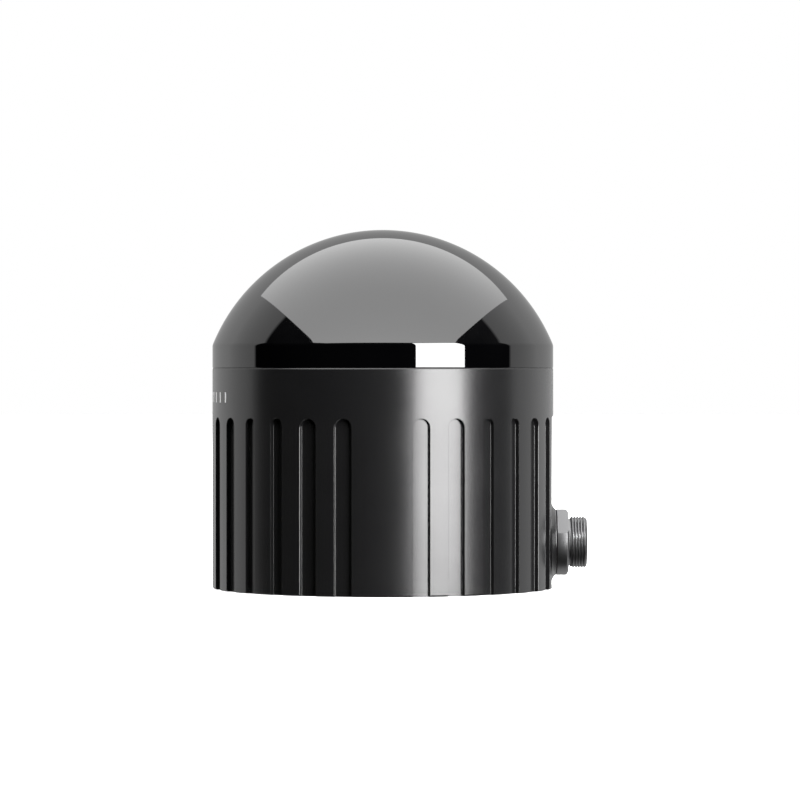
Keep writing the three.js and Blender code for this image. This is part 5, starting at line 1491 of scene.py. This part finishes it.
STRIP_DISTANCE = 0.75
STRIP_FROM, STRIP_TO = 21.7, 55.4  # degrees to the camera's right
STRIP_FOOT = -0.066
STRIP_TOP = STRIP_DISTANCE * math.tan(math.radians(38))
strip_angles = [math.radians(-90 + STRIP_FROM + (STRIP_TO - STRIP_FROM) * i / 12) for i in range(13)]
strip_rows = [[(STRIP_DISTANCE * math.cos(a), STRIP_DISTANCE * math.sin(a), z) for a in strip_angles]
              for z in (STRIP_FOOT, STRIP_TOP)]
emitter("strip_light", strip_rows, even)
print("ceiling panel at", PANEL_HEIGHT, "m, strip light at", STRIP_DISTANCE, "m")


# %% Room and floor
def room():
    """Pale behind the object, dark in front of it, and white where the camera sees it directly."""
    world = bpy.data.worlds.new("room")
    bpy.context.scene.world = world
    world.use_nodes = True
    tree = world.node_tree
    tree.nodes.clear()
    point = add(tree, "ShaderNodeTexCoord").outputs["Generated"]
    behind = add(tree, "ShaderNodeSeparateXYZ", {0: point}).outputs["Y"]
    pale = add(tree, "ShaderNodeMapRange",
               {"Value": behind, "From Min": 0.07, "From Max": 0.11, "To Min": 0.0, "To Max": 1.1})
    far = add(tree, "ShaderNodeMapRange",
              {"Value": behind, "From Min": 0.6, "From Max": 0.95, "To Min": 1.0, "To Max": 0.5})
    seen = add(tree, "ShaderNodeLightPath").outputs["Is Camera Ray"]
    faded = sums(tree, "MULTIPLY", pale.outputs[0], far.outputs[0])
    strength = sums(tree, "MAXIMUM", faded, seen)
    light = add(tree, "ShaderNodeBackground", {"Strength": strength})
    light.inputs["Color"].default_value = (1, 1, 1, 1)
    add(tree, "ShaderNodeOutputWorld", {"Surface": light.outputs[0]})


def pale_floor():
    """A wide round sheet just under the object, which can only be seen from above."""
    made = bmesh.new()
    bmesh.ops.create_circle(made, cap_ends=True, segments=96, radius=2.6)
    floor = moved(new_piece("floor", made), Matrix.Translation((0, 0, -0.06 * MM)))
    material = grained("pale_floor", (0.86, 0.86, 0.86), 0.85, grains=0.5, depth=0.01, drift=0.02)
    tree = material.node_tree
    shader = tree.nodes["Principled BSDF"]
    shader.inputs["Emission Color"].default_value = (1, 1, 1, 1)
    shader.inputs["Emission Strength"].default_value = 0.55
    below = add(tree, "ShaderNodeNewGeometry").outputs["Backfacing"]
    gone = add(tree, "ShaderNodeBsdfTransparent").outputs[0]
    either = add(tree, "ShaderNodeMixShader", {0: below, 1: shader.outputs[0], 2: gone}).outputs[0]
    tree.links.new(either, tree.nodes["Material Output"].inputs["Surface"])
    floor.data.materials.append(material)
    floor.visible_glossy = False
    floor.visible_diffuse = False
    floor.visible_shadow = False


room()
pale_floor()

# %% Camera
camera = bpy.data.objects.new("camera", bpy.data.cameras.new("camera"))
bpy.context.scene.collection.objects.link(camera)
bpy.context.scene.camera = camera
camera.data.lens = 175
camera.data.sensor_width = 36
camera.data.clip_start = 0.01
camera.location = (0.00302, -0.6855, 0.0387)
aim = Vector((0.00302, 0, 0.03305)) - camera.location
camera.rotation_euler = aim.to_track_quat("-Z", "Y").to_euler()
bpy.context.scene.view_settings.view_transform = "Standard"
print("camera at", list(camera.location))
